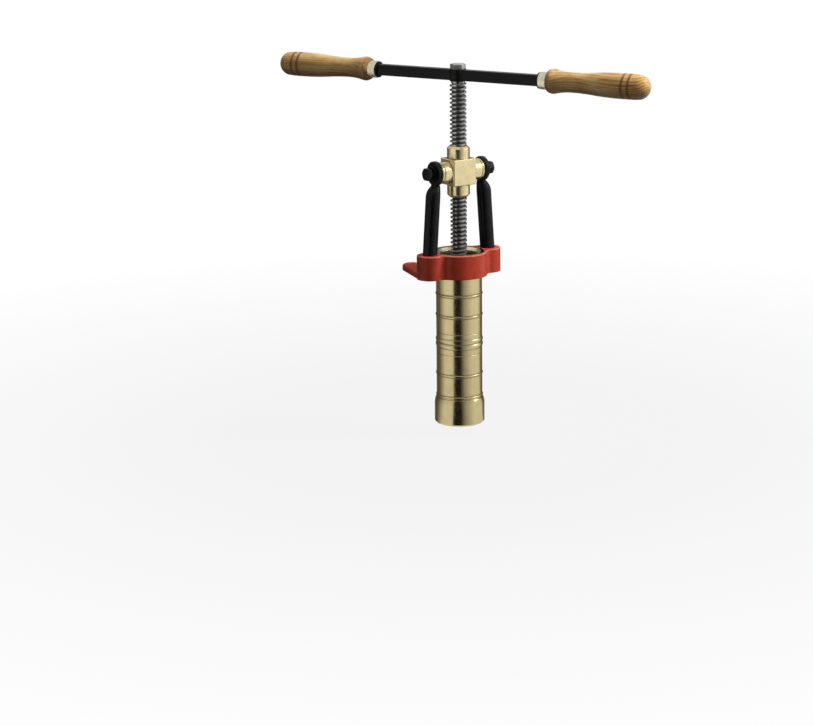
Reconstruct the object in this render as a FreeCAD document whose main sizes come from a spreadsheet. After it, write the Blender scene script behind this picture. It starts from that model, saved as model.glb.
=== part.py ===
import FreeCAD, Part
import Sketcher
import math
import os
import re

# Hand press for extruded pasta, hung over the edge of a bench by its cast flange.
# Millimetres.  The origin is on the barrel's axis, in the plane of the flange's underside.
# +Z points up, +X runs from the left post to the right post, +Y points over the bench.

SIZES = {
    # cast flange: a ring, two post bosses and two lugs that lie on the bench
    "flange_thickness": 31.5,
    "ring_wall": 4,
    "boss_wall": 7.8,
    "ring_blend_radius": 9,
    "flange_edge_radius": 1.4,
    "lug_thickness": 8.2,
    "lug_end_radius": 12.5,
    "lug_edge_radius": 2.8,
    "lug_hole_radius": 3.6,
    "lug_hole_spacing": 68,
    "lug_reach": 60,
    "lug_root_inset": 1.2,
    # fits
    "press_clearance": 0.02,
    "running_clearance": 0.05,
    "end_play": 0.3,
    # barrel, a turned tube with half-round beads
    "barrel_radius": 30,
    "barrel_wall": 5,
    "barrel_lip_width": 3,
    "barrel_lip_height": 5,
    "barrel_mouth_bevel": 3.5,
    "first_bead_drop": 23.9,
    "second_bead_drop": 51.6,
    "third_bead_rise": 32,
    "fourth_bead_rise": 2.8,
    "upper_band_drop": 84.4,
    "lower_band_drop": 91.1,
    "upper_score_drop": 74.5,
    "lower_score_drop": 102.5,
    "bead_half_height": 1.3,
    "band_half_height": 3.0,
    "bead_rise": 0.9,
    "score_half_height": 0.5,
    "score_cut": 0.4,
    "spigot_top_drop": 162.2,
    "spigot_step": 2,
    "spigot_length": 20,
    # ring nut and die
    "ring_nut_wall": 4.65,
    "ring_nut_neck_wall": 2.85,
    "ring_nut_flare_height": 9,
    "ring_nut_flare_radius": 26,
    "ring_nut_lip_width": 5.55,
    "ring_nut_lip_height": 5,
    "ring_nut_bevel": 2.4,
    "die_side_play": 0.45,
    "die_thickness": 10,
    "die_rim_width": 7.6,
    "die_recess_depth": 5,
    "die_hole_radius": 1.7,
    "die_hole_margin": 5,
    "die_ring_count": 3,
    "die_bevel": 0.8,
    # leaning posts that end in flat eyes
    "post_radius": 9.5,
    "post_lean": 4,
    "post_wall": 2.13,
    "post_socket_depth": 24,
    "post_shoulder_length": 13,
    "post_shoulder_swell": 0.25,
    "post_neck_length": 0.8,
    "post_neck_step": 3.3,
    "post_neck_inner_step": 0.4,
    "pivot_height": 104.8,
    "eye_radius": 15.8,
    "eye_thickness": 6.5,
    "eye_shift": 1.4,
    "eye_edge_radius": 1.2,
    # pivot bolts and washers
    "pivot_bolt_radius": 5,
    "pivot_tap_extra": 1,
    "pivot_tap_floor": 3.6,
    "bolt_head_width": 15,
    "bolt_head_height": 9.6,
    "bolt_washer_radius": 9.5,
    "bolt_washer_thickness": 2.2,
    "thrust_washer_inset": 2.2,
    "thrust_washer_thickness": 4,
    "washer_bevel": 0.6,
    # cross-shaped nut
    "nut_hub_wall": 4,
    "nut_hub_reach": 33,
    "nut_hub_bevel": 3,
    "nut_block_cheek": 2.7,
    "nut_block_face": 1,
    "nut_block_height": 34,
    "nut_block_bevel": 1,
    "nut_trunnion_step": 1.8,
    # drive screw
    "screw_radius": 10.65,
    "screw_end_bevel": 1.5,
    "screw_end_step": 3.65,
    "screw_journal_step": 3.65,
    "screw_relief_step": 1.65,
    "screw_relief_length": 2.5,
    # crank bar
    "crank_angle": -64,
    "bar_level": 260,
    "bar_height": 14,
    "bar_thickness": 11,
    "bar_half_length": 119.8,
    "bar_edge_bevel": 0.8,
    "bar_hub_wall": 3.6,
    "bar_hub_stand": 0.7,
    "bar_tang_step": 1.5,
    "bar_tang_length": 60,
    "bar_collar_step": 0.6,
    "bar_collar_thickness": 2,
    "crank_pin_radius": 2.4,
    "crank_pin_overhang": 0.6,
    "cap_nut_wall": 1.7,
    "cap_nut_height": 6.6,
    "cap_nut_crown": 3,
    # ferrules, and turned handles: bulb and waist run from the ferrule, grooves from the end
    "ferrule_radius": 11,
    "ferrule_length": 11.7,
    "ferrule_wall": 1.2,
    "ferrule_edge_bevel": 0.5,
    "handle_bulb_run": 6.5,
    "handle_bulb_radius": 15.6,
    "handle_bulb_curve": 11.5,
    "handle_waist_run": 31.5,
    "handle_waist_drop": 3.1,
    "handle_swell_rest": 3.4,
    "handle_swell_rise": 3.4,
    "handle_swell_curve": 420,
    "handle_length": 138.5,
    "handle_end_height": 12,
    "handle_end_shrink": 0.3,
    "handle_groove_half_width": 1.4,
    "handle_groove_cut": 0.8,
    "handle_groove_spacing": 8.8,
    "outer_groove_rest": 23.8,
    "tang_hole_extra": 2,
    # piston
    "piston_height": 25,
    "piston_level": -100,
    "piston_gap": 0.3,
    "piston_bevel": 1.5,
    "seal_height": 6,
    "seal_drop": 9,
    "seal_groove_depth": 4,
    "piston_thrust_width": 6,
    "piston_thrust_thickness": 2,
    "piston_recess_play": 1,
    "piston_recess_depth": 8,
    "retaining_washer_width": 5,
    "retaining_washer_thickness": 2.5,
    "retaining_screw_radius": 4,
    "retaining_screw_length": 16,
    "retaining_head_radius": 6.5,
    "retaining_head_height": 4.4,
    "retaining_slot_width": 1.8,
    "retaining_slot_depth": 1.6,
    "tap_extra": 2,
}

# Places that follow from the sizes.
PLACES = {
    # barrel, die and ring nut
    "barrel_bore_radius": "barrel_radius - barrel_wall",
    "barrel_lip_radius": "barrel_radius + barrel_lip_width",
    "third_bead_drop": "spigot_top_drop - third_bead_rise",
    "fourth_bead_drop": "spigot_top_drop - fourth_bead_rise",
    "spigot_radius": "barrel_radius - spigot_step",
    "spigot_end": "-spigot_top_drop - spigot_length",
    "die_top": "spigot_end - running_clearance",
    "die_seat": "die_top - die_thickness",
    "ring_nut_top": "-spigot_top_drop - running_clearance",
    "ring_nut_end": "die_seat - running_clearance - ring_nut_lip_height",
    "ring_nut_bore_radius": "spigot_radius + running_clearance",
    "ring_nut_radius": "ring_nut_bore_radius + ring_nut_wall",
    "ring_nut_neck_radius": "ring_nut_bore_radius + ring_nut_neck_wall",
    "ring_nut_mouth_radius": "ring_nut_bore_radius - ring_nut_lip_width",
    "die_radius": "ring_nut_bore_radius - die_side_play",
    "die_recess_radius": "die_radius - die_rim_width",
    "die_hole_pitch": "(die_recess_radius - die_hole_margin) / die_ring_count",
    "bead_curve": "(bead_half_height^2 + bead_rise^2) / (2 * bead_rise)",
    "band_curve": "(band_half_height^2 + bead_rise^2) / (2 * bead_rise)",
    # posts and pivot
    "pivot_level": "flange_thickness + pivot_height",
    "post_reach": "barrel_lip_radius + post_wall + post_radius",
    "post_length": "pivot_height / cos(post_lean)",
    "post_shoulder_top": "post_length - eye_radius - post_neck_length",
    "post_shoulder_height": "post_shoulder_top - post_shoulder_length",
    "post_neck_radius": "post_radius - post_neck_step",
    "post_neck_shift": "post_neck_step - post_neck_inner_step",
    "socket_radius": "post_radius + press_clearance",
    "eye_reach": "post_reach - pivot_height * tan(post_lean) - eye_shift",
    "eye_inner": "eye_reach - eye_thickness / 2",
    "thrust_washer_radius": "eye_radius - thrust_washer_inset",
    "eye_outer": "eye_reach + eye_thickness / 2",
    "trunnion_end": "eye_inner - thrust_washer_thickness",
    "nut_bore_radius": "screw_radius + running_clearance",
    "nut_hub_radius": "nut_bore_radius + nut_hub_wall",
    "nut_block_half_width": "nut_hub_radius + nut_block_cheek",
    "nut_block_half_depth": "nut_hub_radius + nut_block_face",
    "nut_trunnion_radius": "nut_block_half_depth - nut_trunnion_step",
    "bolt_head_seat": "eye_outer + bolt_washer_thickness",
    "bolt_tap_end": "nut_bore_radius + pivot_tap_floor",
    "bolt_tip": "bolt_tap_end + pivot_tap_extra",
    "bolt_hole_radius": "pivot_bolt_radius + running_clearance",
    # screw and crank
    "screw_end_radius": "screw_radius - screw_end_step",
    "screw_journal_radius": "screw_radius - screw_journal_step",
    "screw_relief_radius": "screw_radius - screw_relief_step",
    "bar_hub_radius": "screw_end_radius + bar_hub_wall",
    "bar_hub_bottom": "bar_level - bar_height / 2 - bar_hub_stand",
    "bar_hub_top": "bar_level + bar_height / 2 + bar_hub_stand",
    "bar_tang_radius": "bar_thickness / 2 - bar_tang_step",
    "bar_collar_radius": "ferrule_radius - bar_collar_step",
    "cap_nut_width": "2 * (screw_end_radius + cap_nut_wall)",
    "cap_nut_top": "bar_hub_top + cap_nut_height",
    "screw_top": "cap_nut_top - cap_nut_crown",
    "ferrule_bore_radius": "ferrule_radius - ferrule_wall",
    "ferrule_end": "bar_half_length + ferrule_length",
    "tang_hole_radius": "bar_tang_radius + press_clearance",
    # piston
    "piston_top": "piston_level + piston_height",
    "piston_thrust_top": "piston_top + piston_thrust_thickness",
    "piston_thrust_radius": "screw_journal_radius + piston_thrust_width",
    "screw_shoulder": "piston_thrust_top + running_clearance",
    "piston_recess_top": "piston_level + piston_recess_depth",
    "journal_end": "piston_recess_top - end_play",
    "retaining_washer_radius": "screw_journal_radius + retaining_washer_width",
    "piston_recess_radius": "retaining_washer_radius + piston_recess_play",
    "retaining_head_seat": "journal_end - retaining_washer_thickness",
    "piston_radius": "barrel_bore_radius - piston_gap",
    "seal_radius": "barrel_bore_radius - running_clearance",
    "seal_inner_radius": "piston_radius - seal_groove_depth",
    "seal_top": "piston_top - seal_drop",
    # flange: lugs, and the points where the hollow blends touch the ring and the bosses
    "ring_radius": "barrel_lip_radius + ring_wall",
    "boss_radius": "post_radius + boss_wall",
    "lug_run": "post_reach - lug_hole_spacing / 2",
    "lug_stretch": "sqrt(lug_run^2 + lug_reach^2)",
    "lug_heading": "atan(lug_run / lug_reach)",
    "lug_root_radius": "boss_radius - lug_root_inset",
    "lug_taper": "asin((lug_root_radius - lug_end_radius) / lug_stretch)",
    "ring_arm": "ring_radius + ring_blend_radius",
    "boss_arm": "boss_radius + ring_blend_radius",
    "blend_x": "(post_reach^2 + ring_arm^2 - boss_arm^2) / (2 * post_reach)",
    "blend_y": "sqrt(ring_arm^2 - blend_x^2)",
    "ring_touch_x": "blend_x * ring_radius / ring_arm",
    "ring_touch_y": "blend_y * ring_radius / ring_arm",
    "boss_touch_x": "post_reach + (blend_x - post_reach) * boss_radius / boss_arm",
    "boss_touch_y": "blend_y * boss_radius / boss_arm",
    # handle: bulb, waist and swell are arcs that meet without a kink
    "bulb_place": "ferrule_end + handle_bulb_run",
    "waist_place": "ferrule_end + handle_waist_run",
    "handle_end": "ferrule_end + handle_length",
    "outer_groove_place": "handle_end - outer_groove_rest",
    "inner_groove_place": "outer_groove_place - handle_groove_spacing",
    "swell_place": "inner_groove_place - handle_swell_rest",
    "waist_radius": "handle_bulb_radius - handle_waist_drop",
    "swell_radius": "waist_radius + handle_swell_rise",
    "bulb_start_fall": "handle_bulb_curve - sqrt(handle_bulb_curve^2 - handle_bulb_run^2)",
    "bulb_start_radius": "handle_bulb_radius - bulb_start_fall",
    "bulb_stretch": "handle_waist_run - handle_bulb_run",
    "bulb_reach": "(bulb_stretch^2 + handle_waist_drop^2) / (2 * handle_waist_drop)",
    "bulb_waist_curve": "bulb_reach - handle_bulb_curve",
    "bulb_joint_place": "bulb_place + bulb_stretch * handle_bulb_curve / bulb_reach",
    "bulb_joint_radius": "handle_bulb_radius - handle_waist_drop * handle_bulb_curve / bulb_reach",
    "swell_stretch": "swell_place - waist_place",
    "swell_reach": "(swell_stretch^2 + handle_swell_rise^2) / (2 * handle_swell_rise)",
    "swell_waist_curve": "swell_reach - handle_swell_curve",
    "swell_joint_place": "swell_place - swell_stretch * handle_swell_curve / swell_reach",
    "swell_joint_radius": "swell_radius - handle_swell_rise * handle_swell_curve / swell_reach",
    "end_curve": "swell_radius - handle_end_shrink",
    "end_start": "handle_end - handle_end_height",
    "end_radius": "sqrt(end_curve^2 - (end_curve - handle_end_height)^2)",
}

BEADS = ("first_bead", "second_bead", "upper_band", "lower_band", "third_bead", "fourth_bead")
SCORES = ("upper_score", "lower_score")
HOLES_IN_FIRST_RING = 6
SIDES = (("left", -1), ("right", 1))
FULL_TURN = 360
FIRST_ANGLE = 1   # a turn that sets a rotation's axis before a sheet gives the angle
VERTICAL = FreeCAD.Vector(0, 0, 1)
WORD = re.compile(r"[a-z][a-z_]+")

doc = FreeCAD.newDocument("pasta_press")


def linked(formula):
    """The formula with each size or place written as a reference to its sheet."""
    def reference(match):
        word = match.group()
        if word in SIZES:
            return "Sizes." + word
        if word in PLACES:
            return "Places." + word
        return word
    return WORD.sub(reference, formula)


def fill_sheet(name, rows):
    sheet = doc.addObject("Spreadsheet::Sheet", name)
    for row, (alias, content) in enumerate(rows.items(), 1):
        sheet.set(f"A{row}", alias)
        sheet.set(f"B{row}", content)
        sheet.setAlias(f"B{row}", alias)
    doc.recompute()
    return sheet


sizes = fill_sheet("Sizes", {name: str(value) for name, value in SIZES.items()})
places = fill_sheet("Places", {name: "=" + linked(formula) for name, formula in PLACES.items()})


def value(formula):
    """The present value of a formula, as a plain number."""
    result = sizes.evalExpression(linked(formula))
    return float(getattr(result, "Value", result))


def bind(item, path, formula):
    item.setExpression(path, linked(formula))


# ---------------------------------------------------------------- bodies and sketches

def new_body(node):
    body = doc.addObject("PartDesign::Body", node)
    body.Label = node
    return body


def sketch_on(body, name, plane, lift=None):
    """A sketch on one of the body's own planes, lifted along the plane's normal."""
    sketch = body.newObject("Sketcher::SketchObject", name)
    support = [item for item in body.Origin.OriginFeatures if item.Role == plane]
    sketch.AttachmentSupport = (support[0], [""])
    sketch.MapMode = "FlatFace"
    if lift:
        bind(sketch, "AttachmentOffset.Base.z", lift)
    return sketch


def pin_point(sketch, edge, end, where):
    """Ties one end of an edge to its two coordinates."""
    for kind, formula in zip(("DistanceX", "DistanceY"), where):
        rule = sketch.addConstraint(Sketcher.Constraint(kind, -1, 1, edge, end, value(formula)))
        bind(sketch, f"Constraints[{rule}]", formula)


def arc_between(start, finish, radius, turn):
    """The short arc from start to finish; turn is 1 to the left and -1 to the right."""
    chord = finish - start
    middle = (start + finish) / 2
    side = FreeCAD.Vector(-chord.y, chord.x, 0) / chord.Length
    rise = math.sqrt(max(radius ** 2 - (chord.Length / 2) ** 2, 0))
    centre = middle + side * rise * turn
    first, last = (start, finish) if turn > 0 else (finish, start)
    from_angle = math.atan2(first.y - centre.y, first.x - centre.x)
    to_angle = math.atan2(last.y - centre.y, last.x - centre.x)
    return Part.ArcOfCircle(Part.Circle(centre, VERTICAL, radius), from_angle, to_angle)


def outline(sketch, corners):
    """A closed outline.  A corner is (x, y), or (x, y, radius, turn) where an arc arrives at it."""
    points = [FreeCAD.Vector(value(corner[0]), value(corner[1]), 0) for corner in corners]
    base = sketch.GeometryCount
    count = len(corners)
    ends = []
    for index in range(count):
        start = points[index]
        following = (index + 1) % count
        arrival = corners[following]
        if len(arrival) == 2:
            sketch.addGeometry(Part.LineSegment(start, points[following]), False)
            ends.append((1, 2))
        else:
            radius = value(arrival[2])
            turn = arrival[3]
            edge = sketch.addGeometry(arc_between(start, points[following], radius, turn), False)
            rule = sketch.addConstraint(Sketcher.Constraint("Radius", edge, radius))
            bind(sketch, f"Constraints[{rule}]", arrival[2])
            ends.append((1, 2) if turn > 0 else (2, 1))
    for index in range(count):
        following = (index + 1) % count
        join = (base + index, ends[index][1], base + following, ends[following][0])
        sketch.addConstraint(Sketcher.Constraint("Coincident", *join))
        pin_point(sketch, base + index, ends[index][0], corners[index][:2])
    return sketch


def circle(sketch, x, y, radius):
    centre = FreeCAD.Vector(value(x), value(y), 0)
    edge = sketch.addGeometry(Part.Circle(centre, VERTICAL, value(radius)), False)
    pin_point(sketch, edge, 3, (x, y))
    rule = sketch.addConstraint(Sketcher.Constraint("Radius", edge, value(radius)))
    bind(sketch, f"Constraints[{rule}]", radius)
    return sketch


def rectangle(sketch, half_width, half_height, y="0"):
    low = f"{y} - ({half_height})"
    high = f"{y} + ({half_height})"
    left = f"-({half_width})"
    return outline(sketch, ((left, low), (half_width, low), (half_width, high), (left, high)))


# ---------------------------------------------------------------- features

def add_feature(body, kind, name, profile):
    feature = body.newObject("PartDesign::" + kind, name)
    feature.Profile = profile
    profile.Visibility = False
    return feature


def turn_about(body, kind, name, profile, axis):
    feature = add_feature(body, kind, name, profile)
    feature.ReferenceAxis = (profile, [axis])
    feature.Angle = FULL_TURN
    return feature


def pad(body, name, profile, length, midplane=False):
    feature = add_feature(body, "Pad", name, profile)
    feature.Midplane = midplane
    bind(feature, "Length", length)
    return feature


def pocket(body, name, profile, length, midplane=False, reverse=False):
    feature = add_feature(body, "Pocket", name, profile)
    feature.Midplane = midplane
    feature.Reversed = reverse
    bind(feature, "Length", length)
    return feature


def edges_where(feature, wanted):
    """Names of the feature's edges whose middle point and box satisfy a test."""
    doc.recompute()
    return [f"Edge{number}" for number, edge in enumerate(feature.Shape.Edges, 1) if wanted(edge)]


def dress(body, kind, name, feature, wanted, size):
    """A fillet or chamfer on the edges that satisfy a test."""
    names = edges_where(feature, wanted)
    if not names:
        raise ValueError(f"{name} finds no edge")
    treated = body.newObject("PartDesign::" + kind, name)
    treated.Base = (feature, names)
    bind(treated, "Radius" if kind == "Fillet" else "Size", size)
    doc.recompute()
    return treated


def near(first, second, slack=0.01):
    return abs(first - second) < slack


def level_edge(edge, level):
    box = edge.BoundBox
    return near(box.ZMin, level) and near(box.ZMax, level)


def turned(node, corners, axis="V_Axis"):
    """A body turned about its own Z axis (V_Axis) or X axis (H_Axis) from one outline."""
    body = new_body(node)
    profile = outline(sketch_on(body, node + "_profile", "XZ_Plane"), corners)
    turn_about(body, "Revolution", node + "_turning", profile, axis)
    return body


def face_side(body, side):
    """Turns a body that was drawn on the +X side to the side given."""
    if side < 0:
        body.Placement = FreeCAD.Placement(FreeCAD.Vector(), FreeCAD.Rotation(VERTICAL, FULL_TURN / 2))


def swing_with_crank(body, side=1):
    body.Placement = FreeCAD.Placement(FreeCAD.Vector(), FreeCAD.Rotation(VERTICAL, FIRST_ANGLE))
    bind(body, "Placement.Rotation.Angle", "crank_angle" if side > 0 else "crank_angle + 180")


# ---------------------------------------------------------------- flange

LUG_END = ("-lug_hole_spacing / 2", "lug_reach", "lug_end_radius")
LUG_ROOT = ("-post_reach", "0", "lug_root_radius")


def lug_corner(round_part, outer):
    """Where a straight side of the left lug touches the boss or the lug's round end."""
    centre_x, centre_y, radius = round_part
    if outer:
        swing = "lug_heading + lug_taper"
        return (f"{centre_x} - {radius} * cos({swing})", f"{centre_y} + {radius} * sin({swing})")
    swing = "lug_heading - lug_taper"
    return (f"{centre_x} + {radius} * cos({swing})", f"{centre_y} - {radius} * sin({swing})")


def make_lugs(body):
    profile = sketch_on(body, "lug_outline", "XY_Plane")
    tip_x = "-lug_hole_spacing / 2 + lug_end_radius * sin(lug_heading)"
    tip_y = "lug_reach + lug_end_radius * cos(lug_heading)"
    corners = (lug_corner(LUG_ROOT, False), lug_corner(LUG_END, False),
               (tip_x, tip_y, "lug_end_radius", 1),
               (*lug_corner(LUG_END, True), "lug_end_radius", 1),
               lug_corner(LUG_ROOT, True))
    lug = pad(body, "lug", outline(profile, corners), "lug_thickness")
    doc.recompute()
    hole_profile = sketch_on(body, "lug_hole_outline", "XY_Plane", "lug_thickness")
    circle(hole_profile, "-lug_hole_spacing / 2", "lug_reach", "lug_hole_radius")
    hole = pocket(body, "lug_hole", hole_profile, "lug_thickness")
    doc.recompute()
    mirrored = body.newObject("PartDesign::Mirrored", "lug_pair")
    mirrored.Originals = [lug, hole]
    support = [item for item in body.Origin.OriginFeatures if item.Role == "YZ_Plane"]
    mirrored.MirrorPlane = (support[0], [""])
    body.Tip = mirrored
    doc.recompute()
    return mirrored


def cut_post_socket(body, name, side):
    """A blind round socket along the post's leaning axis."""
    profile = sketch_on(body, name + "_socket_outline", "XY_Plane")
    turn = FreeCAD.Rotation(FreeCAD.Vector(0, -side, 0), FIRST_ANGLE)
    profile.AttachmentOffset = FreeCAD.Placement(FreeCAD.Vector(), turn)
    bind(profile, "AttachmentOffset.Rotation.Angle", "post_lean")
    reach = "post_reach - post_radius * sin(post_lean)"
    bind(profile, "AttachmentOffset.Base.x", reach if side > 0 else f"-({reach})")
    bind(profile, "AttachmentOffset.Base.z", "flange_thickness + post_radius * cos(post_lean)")
    circle(profile, "0", "0", "socket_radius")
    return pocket(body, name + "_socket", profile, "post_socket_depth + post_radius")


def flange_outline(sketch):
    """The ring, the two bosses and the four hollow blends between them, counter-clockwise."""
    blend = ("ring_blend_radius", -1)
    ring = ("ring_radius", 1)
    boss = ("boss_radius", 1)
    return outline(sketch, (("ring_touch_x", "ring_touch_y", *blend),
                            ("-ring_touch_x", "ring_touch_y", *ring),
                            ("-boss_touch_x", "boss_touch_y", *blend),
                            ("-post_reach - boss_radius", "0", *boss),
                            ("-boss_touch_x", "-boss_touch_y", *boss),
                            ("-ring_touch_x", "-ring_touch_y", *blend),
                            ("ring_touch_x", "-ring_touch_y", *ring),
                            ("boss_touch_x", "-boss_touch_y", *blend),
                            ("post_reach + boss_radius", "0", *boss),
                            ("boss_touch_x", "boss_touch_y", *boss)))


def make_flange():
    body = new_body("flange_frame")
    profile = flange_outline(sketch_on(body, "flange_outline", "XY_Plane"))
    plate = pad(body, "flange", profile, "flange_thickness")
    top = value("flange_thickness")
    dress(body, "Fillet", "rim_rounding", plate, lambda edge: level_edge(edge, top), "flange_edge_radius")
    lugs = make_lugs(body)
    lug_top = value("lug_thickness")
    beyond_the_hole = value("lug_reach + lug_end_radius / 4")

    def on_lug_edge(edge):
        return level_edge(edge, lug_top) and edge.CenterOfMass.y > beyond_the_hole

    dress(body, "Fillet", "lug_rounding", lugs, on_lug_edge, "lug_edge_radius")
    for name, side in SIDES:
        cut_post_socket(body, name, side)
    seat = "barrel_lip_radius + press_clearance"
    throat = "barrel_radius + press_clearance"
    step = "flange_thickness - barrel_lip_height"
    bore = (("0", "0"), (throat, "0"), (throat, step), (seat, step), (seat, "flange_thickness"),
            ("0", "flange_thickness"))
    profile = outline(sketch_on(body, "barrel_seat_profile", "XZ_Plane"), bore)
    turn_about(body, "Groove", "barrel_seat", profile, "V_Axis")
    return body


# ---------------------------------------------------------------- barrel, die and ring nut

def bead_corners(name):
    half = "band_half_height" if "band" in name else "bead_half_height"
    curve = "band_curve" if "band" in name else "bead_curve"
    return [("barrel_radius", f"-{name}_drop + {half}"),
            ("barrel_radius", f"-{name}_drop - {half}", curve, -1)]


def score_corners(name):
    return [("barrel_radius", f"-{name}_drop + score_half_height"),
            ("barrel_radius - score_cut", f"-{name}_drop"),
            ("barrel_radius", f"-{name}_drop - score_half_height")]


def make_barrel():
    lip_bottom = "flange_thickness - barrel_lip_height"
    corners = [("barrel_bore_radius", "spigot_end"),
               ("barrel_bore_radius", "flange_thickness - barrel_mouth_bevel"),
               ("barrel_bore_radius + barrel_mouth_bevel", "flange_thickness"),
               ("barrel_lip_radius", "flange_thickness"),
               ("barrel_lip_radius", lip_bottom),
               ("barrel_radius", lip_bottom)]
    marks = {name: bead_corners(name) for name in BEADS}
    marks.update({name: score_corners(name) for name in SCORES})
    for name in sorted(marks, key=lambda mark: value(mark + "_drop")):
        corners += marks[name]
    corners += [("barrel_radius", "-spigot_top_drop"),
                ("spigot_radius", "-spigot_top_drop"),
                ("spigot_radius", "spigot_end + die_bevel"),
                ("spigot_radius - die_bevel", "spigot_end")]
    return turned("barrel", corners)


def make_ring_nut():
    flare_end = "ring_nut_top - ring_nut_flare_height"
    lip_top = "ring_nut_end + ring_nut_lip_height"
    corners = (("ring_nut_bore_radius", lip_top),
               ("ring_nut_bore_radius", "ring_nut_top"),
               ("ring_nut_neck_radius", "ring_nut_top"),
               ("ring_nut_radius", flare_end, "ring_nut_flare_radius", -1),
               ("ring_nut_radius", "ring_nut_end + ring_nut_bevel"),
               ("ring_nut_radius - ring_nut_bevel", "ring_nut_end"),
               ("ring_nut_mouth_radius + die_bevel", "ring_nut_end"),
               ("ring_nut_mouth_radius", "ring_nut_end + die_bevel"),
               ("ring_nut_mouth_radius", lip_top))
    return turned("ring_nut", corners)


def make_die():
    body = turned("die_plate", (("0", "die_seat"),
                                ("die_radius", "die_seat"),
                                ("die_radius", "die_top - die_bevel"),
                                ("die_radius - die_bevel", "die_top"),
                                ("die_recess_radius", "die_top"),
                                ("die_recess_radius", "die_top - die_recess_depth"),
                                ("0", "die_top - die_recess_depth")))
    middle = circle(sketch_on(body, "middle_hole", "XY_Plane", "die_top"), "0", "0", "die_hole_radius")
    pocket(body, "middle_cut", middle, "die_thickness")
    for ring in range(1, int(SIZES["die_ring_count"]) + 1):
        profile = sketch_on(body, f"ring_hole_{ring}", "XY_Plane", "die_top")
        circle(profile, f"{ring} * die_hole_pitch", "0", "die_hole_radius")
        hole = pocket(body, f"ring_cut_{ring}", profile, "die_thickness")
        doc.recompute()
        pattern = body.newObject("PartDesign::PolarPattern", f"ring_pattern_{ring}")
        pattern.Originals = [hole]
        pattern.Axis = (profile, ["N_Axis"])
        pattern.Angle = FULL_TURN
        pattern.Occurrences = ring * HOLES_IN_FIRST_RING
        body.Tip = pattern
    return body


# ---------------------------------------------------------------- posts, pivot bolts and nut

def make_post(name, side):
    """A round bar that leans inwards, worked down from outside to a neck; its flat eye is upright."""
    body = new_body(name + "_post")
    bar = sketch_on(body, name + "_bar_outline", "XY_Plane", "-post_socket_depth")
    circle(bar, "0", "0", "post_radius")
    pad(body, name + "_bar", bar, "post_socket_depth + post_shoulder_height")
    halfway = "(post_shoulder_height + post_shoulder_top) / 2"
    sections = [neck_section(body, name + "_shoulder_foot", side, "post_shoulder_height", "0"),
                neck_section(body, name + "_shoulder_swell", side, halfway, "post_shoulder_swell"),
                neck_section(body, name + "_shoulder_head", side, "post_shoulder_top", "1")]
    doc.recompute()
    shoulder = body.newObject("PartDesign::AdditiveLoft", name + "_shoulder")
    shoulder.Profile = sections[0]
    shoulder.Sections = sections[1:]
    neck = neck_section(body, name + "_neck_outline", side, "post_shoulder_top", "1")
    pad(body, name + "_neck", neck, "post_length - eye_radius / 2 - post_shoulder_top")
    for facing, direction in (("right", 1), ("left", -1)):
        lift = f"{direction} * eye_thickness / 2 - {side} * eye_shift"
        flat = tilted_sketch(body, f"{name}_{facing}_flat", side, lift)
        top = "eye_radius + post_radius"
        corners = (("-post_radius", "-eye_radius"), ("post_radius", "-eye_radius"),
                   ("post_radius", top), ("-post_radius", top))
        pocket(body, f"{name}_{facing}_flat_cut", outline(flat, corners), "post_radius",
               reverse=direction > 0)
    middle = f"{-side} * eye_shift"
    disc = circle(tilted_sketch(body, name + "_eye_outline", side, middle), "0", "0", "eye_radius")
    eye = pad(body, name + "_eye", disc, "eye_thickness", midplane=True)
    doc.recompute()
    least_width = value("2 * eye_radius - eye_edge_radius")

    def on_the_eye(edge):
        return edge.BoundBox.YLength > least_width

    dress(body, "Fillet", name + "_eye_rounding", eye, on_the_eye, "eye_edge_radius")
    hole = circle(tilted_sketch(body, name + "_eye_hole", side, middle), "0", "0", "bolt_hole_radius")
    pocket(body, name + "_eye_bore", hole, "2 * eye_thickness", midplane=True)
    lean = FreeCAD.Rotation(FreeCAD.Vector(0, -side, 0), FIRST_ANGLE)
    body.Placement = FreeCAD.Placement(FreeCAD.Vector(), lean)
    bind(body, "Placement.Rotation.Angle", "post_lean")
    bind(body, "Placement.Base.x", "post_reach" if side > 0 else "-post_reach")
    bind(body, "Placement.Base.z", "flange_thickness")
    return body


def neck_section(body, name, side, height, share):
    """A circle between the bar's full section (share 0) and the neck's, which sits further in (share 1)."""
    section = sketch_on(body, name, "XY_Plane", height)
    return circle(section, f"{-side} * {share} * post_neck_shift", "0",
                  f"post_radius - {share} * post_neck_step")


def tilted_sketch(body, name, side, lift):
    """A sketch beside the eye's centre that stands upright once the post leans."""
    sketch = sketch_on(body, name, "YZ_Plane")
    turn = FreeCAD.Rotation(FreeCAD.Vector(side, 0, 0), FIRST_ANGLE)
    sketch.AttachmentOffset = FreeCAD.Placement(FreeCAD.Vector(), turn)
    bind(sketch, "AttachmentOffset.Rotation.Angle", "post_lean")
    bind(sketch, "AttachmentOffset.Base.y", f"post_length - {side} * ({lift}) * sin(post_lean)")
    bind(sketch, "AttachmentOffset.Base.z", f"({lift}) * cos(post_lean)")
    return sketch


def hexagon(width, first):
    """Six corners for a width across flats; first is the first corner's angle in degrees."""
    reach = f"{width} / 2 / cos(30)"
    return [(f"{reach} * cos({angle})", f"{reach} * sin({angle})")
            for angle in range(first, first + int(FULL_TURN), 60)]


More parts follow.
